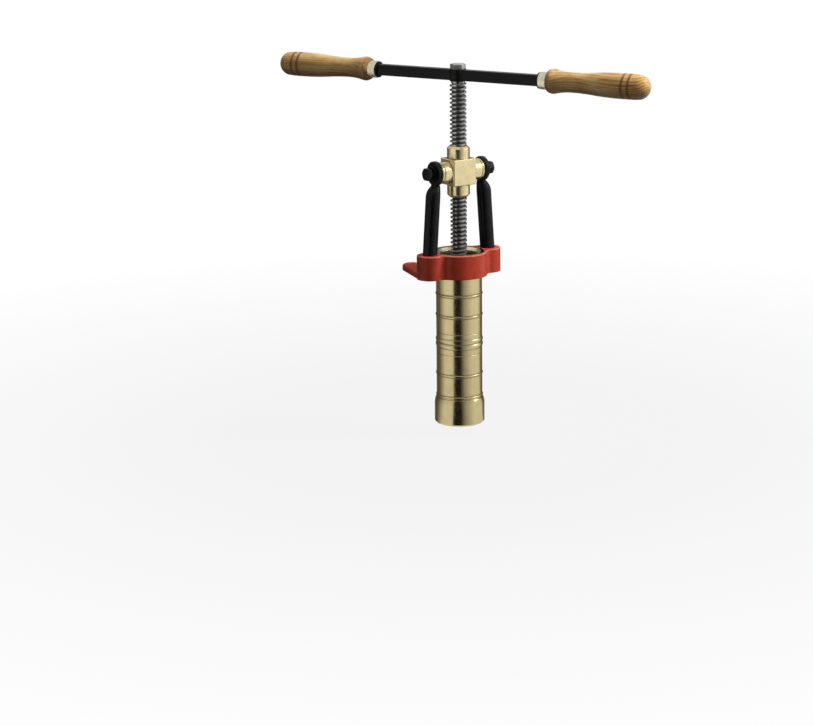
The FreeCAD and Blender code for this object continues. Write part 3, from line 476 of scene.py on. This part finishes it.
def cast_metal(name, colour, dull, grime_and_shade, rough):
    """Brass that was cast, then faced and buffed: soft clouds, fine scratches, brown corners of
    soiling and painted shade.
    """
    s = Shader(name, Metallic=1.0)
    cloud = s.speckle(9.0, detail=5.0)
    scratch = s.speckle(0.9, 6.0, detail=4.0)
    fine = s.speckle(0.35, detail=2.0)
    corner = s.attribute("hollow")
    tone = s.blend(s.span(cloud, 0.40, 0.68, 0.0, 0.6), colour, dull)
    tone = s.blend(s.span(scratch, 0.60, 0.78, 0.0, 0.3), tone, grime_and_shade)
    # painted shade: corners darken to a deeper brown, partly soiling and partly shade
    dirt_and_shade = s.span(s.plus(corner, s.span(cloud, 0.3, 0.7, -0.1, 0.1)), 0.10, 0.60)
    tone = s.blend(s.times(dirt_and_shade, 0.85), tone, tuple(value * 0.5 for value in grime_and_shade))
    base = s.span(cloud, 0.3, 0.7, rough, rough + 0.10)
    base = s.plus(base, s.span(scratch, 0.4, 0.7, 0.0, 0.08))
    base = s.plus(base, s.times(dirt_and_shade, 0.25))
    return s.finish(tone, base, s.bump(fine, 0.02, 0.35))


def dark_steel(name, colour, bright, rough, metallic=1.0):
    """Machined steel under a film of oil; the thread's valleys are painted dark, partly oil and
    partly painted shade.
    """
    s = Shader(name, Metallic=metallic)
    oil_and_valley_shade = (0.035, 0.034, 0.030)
    dirt_and_shade = s.span(s.attribute("hollow"), 0.0, 1.0)
    cloud = s.speckle(6.0, detail=5.0)
    scuff = s.span(s.speckle(1.4, 3.0, detail=4.0), 0.5, 0.72)
    tone = s.blend(s.span(cloud, 0.35, 0.7), bright, colour)
    tone = s.blend(s.times(scuff, 0.3), tone, bright)
    # painted shade: the thread's valleys are darkened, partly oil and partly shade
    tone = s.blend(s.times(dirt_and_shade, 0.85), tone, oil_and_valley_shade)
    base = s.plus(s.span(cloud, 0.3, 0.7, rough, rough + 0.12), s.times(dirt_and_shade, 0.25))
    return s.finish(tone, base, s.bump(s.speckle(0.5, 4.0), 0.02, 0.5))


def enamel(name, colour, deep, wear_and_highlight, rough, gloss, coat):
    """Thick paint over a casting: slight orange peel, soiling and painted shade in the corners,
    and rubbed thin on edges, where the paler edge is partly a painted highlight.
    """
    s = Shader(name, Coat_Weight=coat, Coat_Roughness=0.12, Specular_IOR_Level=gloss)
    peel = 0.03
    cloud = s.speckle(11.0, detail=4.0)
    fine = s.speckle(1.1, detail=2.0)
    chips = s.speckle(2.2, detail=5.0, rough=0.7)
    specks = s.span(s.speckle(0.55, detail=1.0), 0.66, 0.74)
    corner = s.attribute("hollow")
    tone = s.blend(s.span(cloud, 0.35, 0.7), colour, deep)
    tone = s.blend(s.times(specks, 0.25), tone, deep)
    # painted shade: corners are darkened, partly soiling and partly shade
    tone = s.blend(s.span(corner, 0.12, 0.75, 0.0, 0.85), tone,
                   tuple(value * 0.35 for value in deep))
    # paled edges: paint rubbed thin, partly real wear and partly a painted highlight along the
    # rims
    edge = s.span(s.plus(corner, s.span(chips, 0.3, 0.7, -0.22, 0.22)), -0.42, -0.75)
    tone = s.blend(s.times(edge, 0.45), tone, wear_and_highlight)
    skin = s.bump(cloud, peel * 3, 0.5, s.bump(fine, peel, 0.5))
    return s.finish(tone, s.span(cloud, 0.3, 0.7, rough, rough + 0.10), skin)


def turned_wood(name, shift, side):
    """Varnished beech, turned along its grain: growth rings, short flecks and fine pores, with
    painted shade in its hollows, its grooves and beside the ferrule.

    A handle's mesh is in the press's coordinates, so the stand lays its axis along the bar."""
    wood, ring, streaked = (0.61, 0.43, 0.150), (0.40, 0.172, 0.043), (0.20, 0.070, 0.018)
    pale, flecked, pore = (0.68, 0.48, 0.20), (0.30, 0.14, 0.045), (0.17, 0.075, 0.025)
    # the last tone is a painted shade brown, for the hollows, the grooves and beside the ferrule
    painted_shade_brown = (0.15, 0.062, 0.020)
    s = Shader(name, Coat_Weight=0.12, Coat_Roughness=0.18, Specular_IOR_Level=0.28)
    along_bar = UP.rotation_difference(Vector(crank_way(side))).to_euler("XYZ")
    s.stand = ((0, 0, BAR_LEVEL * MM), tuple(along_bar))

    where = s.place(0.05, shift)
    warp = s.node("TexNoise", {"Vector": where, "Scale": 0.07, "Detail": 3.0}).outputs["Color"]
    bent = s.node("VectorMath", {0: warp, 1: (9.0, 9.0, 0.0), 2: where},
                  operation="MULTIPLY_ADD").outputs[0]
    rings = s.node("TexWave", {"Vector": bent, "Scale": 0.11, "Distortion": 1.4,
                               "Detail": 3.0, "Detail Scale": 1.2},
                   wave_type="RINGS", rings_direction="Z", wave_profile="SIN").outputs["Fac"]
    streak = s.speckle(1.0, 0.035, shift, detail=4.0, rough=0.65)
    pores = s.speckle(0.32, 0.06, shift, detail=2.0)
    fleck = s.span(s.speckle(1.6, 0.22, shift, detail=1.0), 0.60, 0.70)
    cloud = s.speckle(16.0, 0.4, shift)
    tone = s.blend(s.span(rings, 0.15, 0.95), wood, ring)
    tone = s.blend(s.span(streak, 0.40, 0.66, 0.0, 0.70), tone, streaked)
    tone = s.blend(s.span(cloud, 0.40, 0.68, 0.0, 0.55), tone, pale)
    tone = s.blend(s.times(fleck, 0.40), tone, flecked)
    tone = s.blend(s.span(pores, 0.60, 0.72, 0.0, 0.35), tone, pore)

    # painted shade: darker in the hollows, in the two grooves, and beside the ferrule where the
    # bulb's end lies in shade
    axial = s.axial()
    bands = [s.span(s.calc("ABSOLUTE", s.calc("SUBTRACT", axial, middle)), 2.5, 1.3)
             for middle in GROOVES]
    painted_shade_mask = s.larger(s.span(s.attribute("hollow"), 0.04, 0.6), s.larger(*bands))
    painted_shade_mask = s.larger(painted_shade_mask, s.span(axial, FERRULE_END + 7.0, FERRULE_END + 2.0, 0.0, 0.75))
    tone = s.blend(s.times(painted_shade_mask, 0.86), tone, painted_shade_brown)
    grain = s.bump(streak, 0.06, 0.4, s.bump(pores, 0.05, 0.35))
    return s.finish(tone, s.span(streak, 0.3, 0.7, 0.30, 0.42), grain)


def smooth_seal(name):
    """The piston's pale ring, a little yellowed."""
    s = Shader(name)
    cloud = s.speckle(5.0)
    tone = s.blend(s.span(cloud, 0.35, 0.7), (0.80, 0.78, 0.70), (0.70, 0.66, 0.56))
    skin = s.bump(s.speckle(0.4), 0.02, 0.4)
    return s.finish(tone, s.span(cloud, 0.3, 0.7, 0.35, 0.5), skin)


YELLOW_BRASS = {"colour": (0.635, 0.53, 0.285), "dull": (0.54, 0.44, 0.22),
                "grime_and_shade": (0.12, 0.08, 0.03), "rough": 0.15}
BRASS = turned_metal("polished_brass", **YELLOW_BRASS)
FACED_BRASS = cast_metal("faced_brass", colour=(0.80, 0.67, 0.385), dull=(0.68, 0.555, 0.30),
                         grime_and_shade=(0.28, 0.19, 0.07), rough=0.20)
BARREL_BRASS = turned_metal("barrel_brass", **YELLOW_BRASS, bored=28.4)
BRONZE = turned_metal("die_bronze", colour=(0.72, 0.50, 0.26), dull=(0.55, 0.36, 0.17),
                      grime_and_shade=(0.12, 0.07, 0.03), rough=0.20)
STEEL = turned_metal("bright_steel", colour=(0.66, 0.65, 0.62), dull=(0.50, 0.49, 0.46),
                     grime_and_shade=(0.10, 0.09, 0.08), rough=0.18)
FERRULE = turned_metal("nickel", colour=(0.72, 0.66, 0.50), dull=(0.58, 0.50, 0.34),
                       grime_and_shade=(0.16, 0.10, 0.05), rough=0.22)
NUT_STEEL = dark_steel("nut_steel", colour=(0.34, 0.34, 0.33), bright=(0.52, 0.52, 0.51),
                       rough=0.26, metallic=0.65)
THREAD = dark_steel("oiled_steel", colour=(0.13, 0.13, 0.126), bright=(0.44, 0.44, 0.43),
                    rough=0.18, metallic=0.85)
RED = enamel("red_enamel", colour=(0.46, 0.052, 0.026), deep=(0.36, 0.036, 0.019),
             wear_and_highlight=(0.50, 0.36, 0.30), rough=0.24, gloss=0.15, coat=0.04)
BLACK = enamel("black_enamel", colour=(0.006, 0.006, 0.007), deep=(0.010, 0.010, 0.011),
               wear_and_highlight=(0.050, 0.050, 0.050), rough=0.20, gloss=0.12, coat=0.0)
BLACKENED = dark_steel("black_steel", colour=(0.007, 0.007, 0.008),
                       bright=(0.020, 0.020, 0.021), rough=0.26)
WOOD_LEFT = turned_wood("left_wood", shift=(7.0, 5.0, 11.0), side=-1)
WOOD_RIGHT = turned_wood("right_wood", shift=(-6.0, 8.0, 37.0), side=1)
SEAL = smooth_seal("piston_seal")


# ---------------------------------------------------------------- turned pieces

def arc_radius(half_chord, rise):
    """The radius of an arc from half its chord and its rise over it."""
    return (half_chord ** 2 + rise ** 2) / (2 * rise)


def arc(first, last, radius, turn, steps):
    """Points after the first on the short arc to the last, bending left (1) or right (-1)."""
    start, finish = Vector(first), Vector(last)
    chord = finish - start
    side = Vector((-chord.y, chord.x)).normalized()
    rise = math.sqrt(max(radius ** 2 - (chord.length / 2) ** 2, 0))
    centre = (start + finish) / 2 + side * rise * turn
    from_angle = math.atan2(start.y - centre.y, start.x - centre.x)
    sweep = math.atan2(finish.y - centre.y, finish.x - centre.x) - from_angle
    sweep = (sweep + math.pi) % (2 * math.pi) - math.pi
    return [(centre.x + radius * math.cos(from_angle + sweep * step / steps),
             centre.y + radius * math.sin(from_angle + sweep * step / steps))
            for step in range(1, steps + 1)]


def bead(place, half):
    """A half-round bead or band on the barrel, from its upper side to its lower side."""
    rise = 0.9
    start, finish = (place + half, BARREL_RADIUS), (place - half, BARREL_RADIUS)
    return [start] + arc(start, finish, arc_radius(half, rise), turn=1, steps=8)


def score(place):
    """A line scored round the barrel."""
    half, cut = 0.5, 0.4
    return [(place + half, BARREL_RADIUS), (place, BARREL_RADIUS - cut),
            (place - half, BARREL_RADIUS)]


def barrel():
    """Collar, body and spigot down the outside, then back up through the bore."""
    narrow, broad = 1.3, 3.0        # half the height of a bead and of a band
    top, collar_foot, collar = 31.5, 26.5, 33.0
    spigot, spigot_foot, spigot_chamfer = 28.0, -182.2, 0.8
    bore, bore_chamfer = 25.0, 3.5
    outline = [(top, collar), (collar_foot, collar), (collar_foot, BARREL_RADIUS)]
    for marks in (bead(-23.9, narrow), bead(-51.6, narrow), score(-74.5), bead(-84.4, broad),
                  bead(-91.1, broad), score(-102.5), bead(-130.2, narrow), bead(-159.4, narrow)):
        outline += marks
    outline += [(SPIGOT_TOP, BARREL_RADIUS), (SPIGOT_TOP, spigot),
                (spigot_foot + spigot_chamfer, spigot), (spigot_foot, spigot - spigot_chamfer),
                (spigot_foot, bore), (top - bore_chamfer, bore), (top, bore + bore_chamfer)]
    obj = lathe("barrel_turned", soften(outline, radius=0.35))
    dress(obj, "press", BARREL_BRASS, "barrel")


def ring_nut():
    """Flare and skirt down the outside, then up through the mouth, past the die's shelf."""
    top, flare_foot, foot, shelf = SPIGOT_TOP - 0.05, -171.25, -197.3, -192.3
    waist, skirt, mouth, bore = 30.9, 32.7, 22.5, 28.05
    flare_curve, outer_chamfer, inner_chamfer = 26.0, 2.4, 0.8
    outline = [(top, waist)]
    outline += arc((top, waist), (flare_foot, skirt), flare_curve, turn=1, steps=10)
    outline += [(foot + outer_chamfer, skirt), (foot, skirt - outer_chamfer),
                (foot, mouth + inner_chamfer), (foot + inner_chamfer, mouth),
                (shelf, mouth), (shelf, bore), (top, bore)]
    obj = lathe("ring_nut_turned", soften(outline, radius=0.4))
    dress(obj, "ring_nut", BRASS, "ring_nut")


def ferrule(name, side):
    """A plain collar on the end of a handle."""
    inner, outer, chamfer = 9.8, 11.0, 0.5
    outline = [(FERRULE_START, inner), (FERRULE_START, outer - chamfer),
               (FERRULE_START + chamfer, outer), (FERRULE_END, outer), (FERRULE_END, inner)]
    obj = lathe(name + "_ferrule_turned", soften(outline, radius=0.3), steps=96)
    aim(obj, BAR_LEVEL, crank_way(side))
    dress(obj, "screw", FERRULE, name + "_ferrule")


def groove(place):
    """A shallow round-bottomed groove across the swell."""
    half, cut = 1.4, 0.8
    start, finish = (place - half, SWELL_RADIUS), (place + half, SWELL_RADIUS)
    return [start] + arc(start, finish, arc_radius(half, cut), turn=1, steps=8)


def handle(name, side, material):
    """Bulb, waist and swell as arcs, two grooves and a domed end, as in the solid."""
    neck, tang, tang_end = 9.78, 4.02, 181.8
    bulb, waist, swell = (138.0, 15.6), (163.0, 12.5), (234.0, SWELL_RADIUS)
    bulb_curve, swell_curve, dome_curve = 11.5, 420.0, 15.6
    dome_start, end = 258.0, 270.0
    run, drop = waist[0] - bulb[0], bulb[1] - waist[1]
    reach = arc_radius(run, drop)
    first_joint = (bulb[0] + run * bulb_curve / reach, bulb[1] - drop * bulb_curve / reach)
    stretch, rise = swell[0] - waist[0], swell[1] - waist[1]
    span = arc_radius(stretch, rise)
    next_joint = (swell[0] - stretch * swell_curve / span, swell[1] - rise * swell_curve / span)
    shoulder = bulb[1] - bulb_curve + math.sqrt(bulb_curve ** 2 - (bulb[0] - FERRULE_END) ** 2)
    outline = [(FERRULE_START, tang), (FERRULE_START, neck), (FERRULE_END, neck),
               (FERRULE_END, shoulder)]
    for last, radius, turn, steps in ((bulb, bulb_curve, -1, 10),
                                      (first_joint, bulb_curve, -1, 4),
                                      (waist, reach - bulb_curve, 1, 12),
                                      (next_joint, span - swell_curve, 1, 12),
                                      (swell, swell_curve, -1, 12)):
        outline += arc(outline[-1], last, radius, turn, steps)
    for place in GROOVES:
        outline += groove(place)
    dome_rise = end - dome_start
    dome = (dome_start, math.sqrt(dome_curve ** 2 - (dome_curve - dome_rise) ** 2))
    outline += [dome] + arc(dome, (end, 0.0), dome_curve, turn=-1, steps=18)
    outline += [(tang_end, 0.0), (tang_end, tang)]
    obj = lathe(name + "_handle_turned", soften(outline, radius=0.5, steps=3), steps=128,
                reach=2.0)
    aim(obj, BAR_LEVEL, crank_way(side))
    # with its turn worked into the mesh, the object's box is no larger than the handle
    obj.data.transform(obj.matrix_world)
    obj.matrix_world = Matrix.Identity(4)
    dress(obj, "screw", material, name + "_handle")


def washer(node, side, inner, outer, radius, material):
    """A washer on a pivot bolt, from inner to outer along the bolt."""
    bore, bevel = 5.05, 0.6
    outline = [(inner, bore), (inner, radius - bevel), (inner + bevel, radius),
               (outer - bevel, radius), (outer, radius - bevel), (outer, bore)]
    obj = lathe(node + "_turned", soften(outline, radius=0.3), steps=96)
    aim(obj, PIVOT_LEVEL, (side, 0, 0))
    dress(obj, "press", material, node)


# ---------------------------------------------------------------- drive screw

def thread_rows(crest, root):
    """Profile of one pitch, as (share of the pitch, radius), with eased corners."""
    ease = 0.22
    return ((0.00, root), (0.30, root), (0.335, root + ease), (0.435, crest - ease),
            (0.475, crest), (0.825, crest), (0.865, crest - ease), (0.965, root + ease))


def plain_end(name, outline, rounding):
    """An unthreaded end of the screw, closed on its axis."""
    closed = [(outline[0][0], 0.0), *outline, (outline[-1][0], 0.0)]
    return lathe(name, soften(closed, rounding), steps=72)


def drive_screw():
    """The screw with its real right-hand helical thread, cut off square at both ends."""
    start, finish, crest, root = -72.95, 249.8, 10.65, 8.05
    steps, overlap = 72, 0.05
    shape = thread_rows(crest, root)
    per_turn = len(shape)
    rows = (int((finish - start) / PITCH) + 4) * per_turn     # with turns to spare at both ends
    verts, faces, depth = [], [], []
    for row in range(rows):
        turn, point = divmod(row, per_turn)
        share, radius = shape[point]
        for step in range(steps):
            level = start + PITCH * (turn - 2 + share + step / steps)
            verts.append(on_ring(radius, 2 * math.pi * step / steps, level))
            depth.append((crest - radius) / (crest - root))
    for row in range(rows - per_turn - 1):
        low, high = row * steps, (row + 1) * steps
        for step in range(steps):
            # past the last step the thread goes on one pitch higher
            after = step + 1 if step + 1 < steps else per_turn * steps
            faces.append((low + step, low + after, high + after, high + step))
    mesh = bpy.data.meshes.new("power_screw_cut")
    mesh.from_pydata(verts, [], faces)
    write_values(mesh, "hollow", depth)
    work = bmesh.new()
    work.from_mesh(mesh)
    for level, way in ((start, -1), (finish, 1)):
        everything = work.verts[:] + work.edges[:] + work.faces[:]
        bmesh.ops.bisect_plane(work, geom=everything, plane_co=(0, 0, level * MM),
                               plane_no=(0, 0, way), clear_outer=True)
        rim = [edge for edge in work.edges if edge.is_boundary
               and all(abs(vert.co.z - level * MM) < 1e-6 for vert in edge.verts)]
        bmesh.ops.triangle_fill(work, edges=rim, use_beauty=True)
    work.to_mesh(mesh)
    work.free()
    foot, shoulder, tip, thin, thick = -92.3, 252.3, 271.3, 7.0, 9.0
    journal = plain_end("journal", [(foot, thin), (start + overlap, thin)], rounding=0.5)
    neck = plain_end("neck", [(finish - overlap, thick), (shoulder, thick),
                              (shoulder, thin), (tip, thin)], rounding=0.3)
    shade(mesh, angle=28)
    obj = add_object("power_screw_cut", mesh)
    joined = bmesh.new()
    for part in (obj, journal, neck):
        joined.from_mesh(part.data)
    joined.to_mesh(mesh)
    joined.free()
    for part in (journal, neck):
        bpy.data.objects.remove(part)
    dress(obj, "screw", THREAD, "power_screw")


# ---------------------------------------------------------------- castings and forgings

def castings():
    """The flange, the nut and the posts get an uneven skin, and the rest only broken edges."""
    flange = roughcast("flange_frame", voxel=0.5, passes=3, dent=0.10, dent_size=7.0)
    dress(flange, "press", RED, "flange_frame")
    nut = roughcast("screw_nut", voxel=0.4, passes=2, dent=0.05, dent_size=8.0)
    dress(nut, "press", FACED_BRASS, "screw_nut")
    for name in ("left", "right"):
        post = roughcast(name + "_post", voxel=0.4, passes=3, dent=0.06, dent_size=9.0)
        dress(post, "press", BLACK, name + "_post")
        bolt = recast(name + "_pivot_bolt", bevel=0.4)
        dress(bolt, "press", BLACKENED, name + "_pivot_bolt")
    bar = recast("crank_bar", bevel=0.5)
    dress(bar, "screw", BLACK, "crank_bar")
    cap = recast("crank_cap_nut", bevel=0.4)
    dress(cap, "screw", NUT_STEEL, "crank_cap_nut")


def carried_over():
    """Pieces inside the barrel and under the ring nut keep their solids' meshes."""
    for node, material in (("piston_body", BRASS), ("piston_seal", SEAL), ("die_plate", BRONZE),
                           ("piston_thrust_washer", STEEL), ("piston_retaining_washer", STEEL),
                           ("piston_retaining_screw", STEEL), ("crank_pin", BLACKENED)):
        mesh = NODES[node].data
        mesh.materials.clear()
        mesh.materials.append(material)


def object_pieces():
    barrel()
    ring_nut()
    drive_screw()
    for name, side, wood in (("left", -1, WOOD_LEFT), ("right", 1, WOOD_RIGHT)):
        ferrule(name, side)
        handle(name, side, wood)
        washer(name + "_bolt_washer", side, inner=39.15, outer=41.35, radius=9.5,
               material=BLACKENED)
        washer(name + "_thrust_washer", side, inner=28.65, outer=32.65, radius=13.6,
               material=BRASS)
    castings()
    carried_over()


# ---------------------------------------------------------------- stage, light and camera

def floor():
    """A round floor, clear of the ring nut at its lowest: pale, and plain white further away."""
    radii, steps = (350.0, 800.0, 1600.0, 3000.0, 8000.0, 30000.0), 64
    mesh = bpy.data.meshes.new("floor")
    verts = [(0.0, 0.0, FLOOR * MM)]
    verts += [on_ring(radius, 2 * math.pi * step / steps, FLOOR)
              for radius in radii for step in range(steps)]
    faces = [(0, 1 + step, 1 + (step + 1) % steps) for step in range(steps)]
    for ring in range(len(radii) - 1):
        low, high = 1 + ring * steps, 1 + (ring + 1) * steps
        faces += [(low + step, high + step, high + (step + 1) % steps, low + (step + 1) % steps)
                  for step in range(steps)]
    mesh.from_pydata(verts, [], faces)
    obj = add_object("floor", mesh)
    s = Shader("floor_white", Roughness=0.9, Specular_IOR_Level=0.0,
               Base_Color=(0.08, 0.08, 0.079, 1))
    white = s.node("Emission", {"Strength": 1.0})
    whiteness = s.span(s.radial(), 300.0, 1200.0, 0.88, 1.0)
    s.surface(s.node("MixShader", {0: s.times(s.bright_rays(), whiteness),
                                   1: s.bsdf.outputs[0], 2: white.outputs[0]}))
    mesh.materials.append(s.material)


def face_press(obj, place):
    """Puts a lamp or a card at its place, facing the middle of the press."""
    where = Vector(place) * MM
    turn = (Vector(MIDDLE) * MM - where).to_track_quat("-Z", "Y")
    obj.matrix_world = Matrix.Translation(where) @ turn.to_matrix().to_4x4()


def lamp(name, place, size, power):
    """A square lamp that polished surfaces don't mirror; the softboxes do that for it."""
    light = bpy.data.lights.new(name, "AREA")
    light.shape = "SQUARE"
    light.size = size * MM
    light.energy = power
    obj = add_object(name, light)
    obj.visible_glossy = False
    face_press(obj, place)


def card(name, verts, faces):
    """A card that only polished surfaces see, and the shader to write its look with."""
    mesh = bpy.data.meshes.new(name)
    mesh.from_pydata(verts, [], faces)
    obj = add_object(name, mesh)
    s = Shader(name)
    mesh.materials.append(s.material)
    obj.visible_camera = False
    obj.visible_diffuse = False
    obj.visible_shadow = False
    return obj, s


def softbox(name, place, size, strength):
    """A bright square card: the mirror image of a lamp."""
    half = size / 2 * MM
    corners = [(-half, -half, 0), (half, -half, 0), (half, half, 0), (-half, half, 0)]
    obj, s = card(name, corners, [(0, 1, 2, 3)])
    s.surface(s.node("Emission", {"Strength": strength}))
    face_press(obj, place)


def flag(name, tone, stops):
    """A dark card bent round the object.

    It lies just over the floor from the barrel outwards and then stands up, so the floor and
    the surroundings look alike from the object. stops are (degrees to the right of the camera,
    how solid the card is there)."""
    near, far, low, top = 34.0, 430.0, FLOOR + 0.25, 330.0
    first, last = stops[0][0], stops[-1][0]
    count = int(abs(last - first) / 2) + 1
    verts, solid = [], []
    for step in range(count + 1):
        turn = first + (last - first) * step / count
        angle = math.radians(turn - 90 + CAMERA_TURN)
        verts += [on_ring(near, angle, low), on_ring(far, angle, low), on_ring(far, angle, top)]
        solid += [np.interp(turn, *zip(*stops))] * 3
    faces = [(3 * step + row, 3 * step + 3 + row, 3 * step + 4 + row, 3 * step + 1 + row)
             for step in range(count) for row in (0, 1)]
    obj, s = card(name, verts, faces)
    write_values(obj.data, "solid", solid)
    clear = s.node("BsdfTransparent")
    dark = s.node("Emission", {"Color": (*tone, 1)})
    s.surface(s.node("MixShader", {0: s.attribute("solid"), 1: clear.outputs[0],
                                   2: dark.outputs[0]}))


def world():
    """A faint even light, and pale surroundings for the camera and for polished surfaces."""
    made = bpy.data.worlds.new("studio")
    bpy.context.scene.world = made
    made.use_nodes = True
    made.node_tree.nodes.clear()
    w = Nodes(made.node_tree)
    soft = w.node("Background", {"Color": (1.0, 1.0, 1.0, 1), "Strength": 0.05})
    pale = w.node("Background", {"Color": (0.8, 0.8, 0.8, 1), "Strength": 1.0})
    mix = w.node("MixShader", {0: w.bright_rays(), 1: soft.outputs[0], 2: pale.outputs[0]})
    w.node("OutputWorld", {"Surface": mix.outputs[0]})


def camera():
    """The photograph's view; the frame is rolled by a fraction of a degree."""
    turn, pitch, roll = (math.radians(angle) for angle in (CAMERA_TURN, CAMERA_PITCH, CAMERA_ROLL))
    right = Vector((math.cos(turn), math.sin(turn), 0))
    back = Vector((math.sin(turn) * math.cos(pitch), -math.cos(turn) * math.cos(pitch),
                   math.sin(pitch)))
    up = back.cross(right)
    rolled_right = right * math.cos(roll) + up * math.sin(roll)
    rolled_up = up * math.cos(roll) - right * math.sin(roll)
    data = bpy.data.cameras.new("camera")
    data.sensor_width = SENSOR
    data.lens = FOCAL_LENGTH / PICTURE_WIDTH * SENSOR
    data.clip_end = 100         # metres
    obj = add_object("camera", data)
    axes = Matrix((rolled_right, rolled_up, back)).transposed().to_4x4()
    obj.matrix_world = Matrix.Translation(Vector(CAMERA_PLACE) * MM) @ axes
    bpy.context.scene.camera = obj


object_pieces()
floor()
world()
lamp("key", place=(1500, -1280, 2000), size=1000, power=125)
lamp("fill", place=(-1150, -850, 2050), size=1200, power=18)
softbox("key_softbox", place=(1600, -1380, 1700), size=600, strength=7.0)
softbox("side_softbox", place=(1650, -1130, 700), size=900, strength=5.0)
lamp("back", place=(400, 1500, 1800), size=1800, power=24)
flag("dark_front", tone=(0.012, 0.010, 0.008),
     stops=((-30, 0), (-28, 1), (6, 1), (24, 0.55), (62, 0)))
flag("dark_left", tone=(0.05, 0.030, 0.015),
     stops=((-200, 0.0), (-185, 0.9), (-112, 0.9), (-72, 0)))
flag("dark_right", tone=(0.03, 0.024, 0.018),
     stops=((108, 0), (128, 0.9), (158, 0.9), (172, 0)))
camera()
bpy.context.scene.view_settings.view_transform = "Standard"
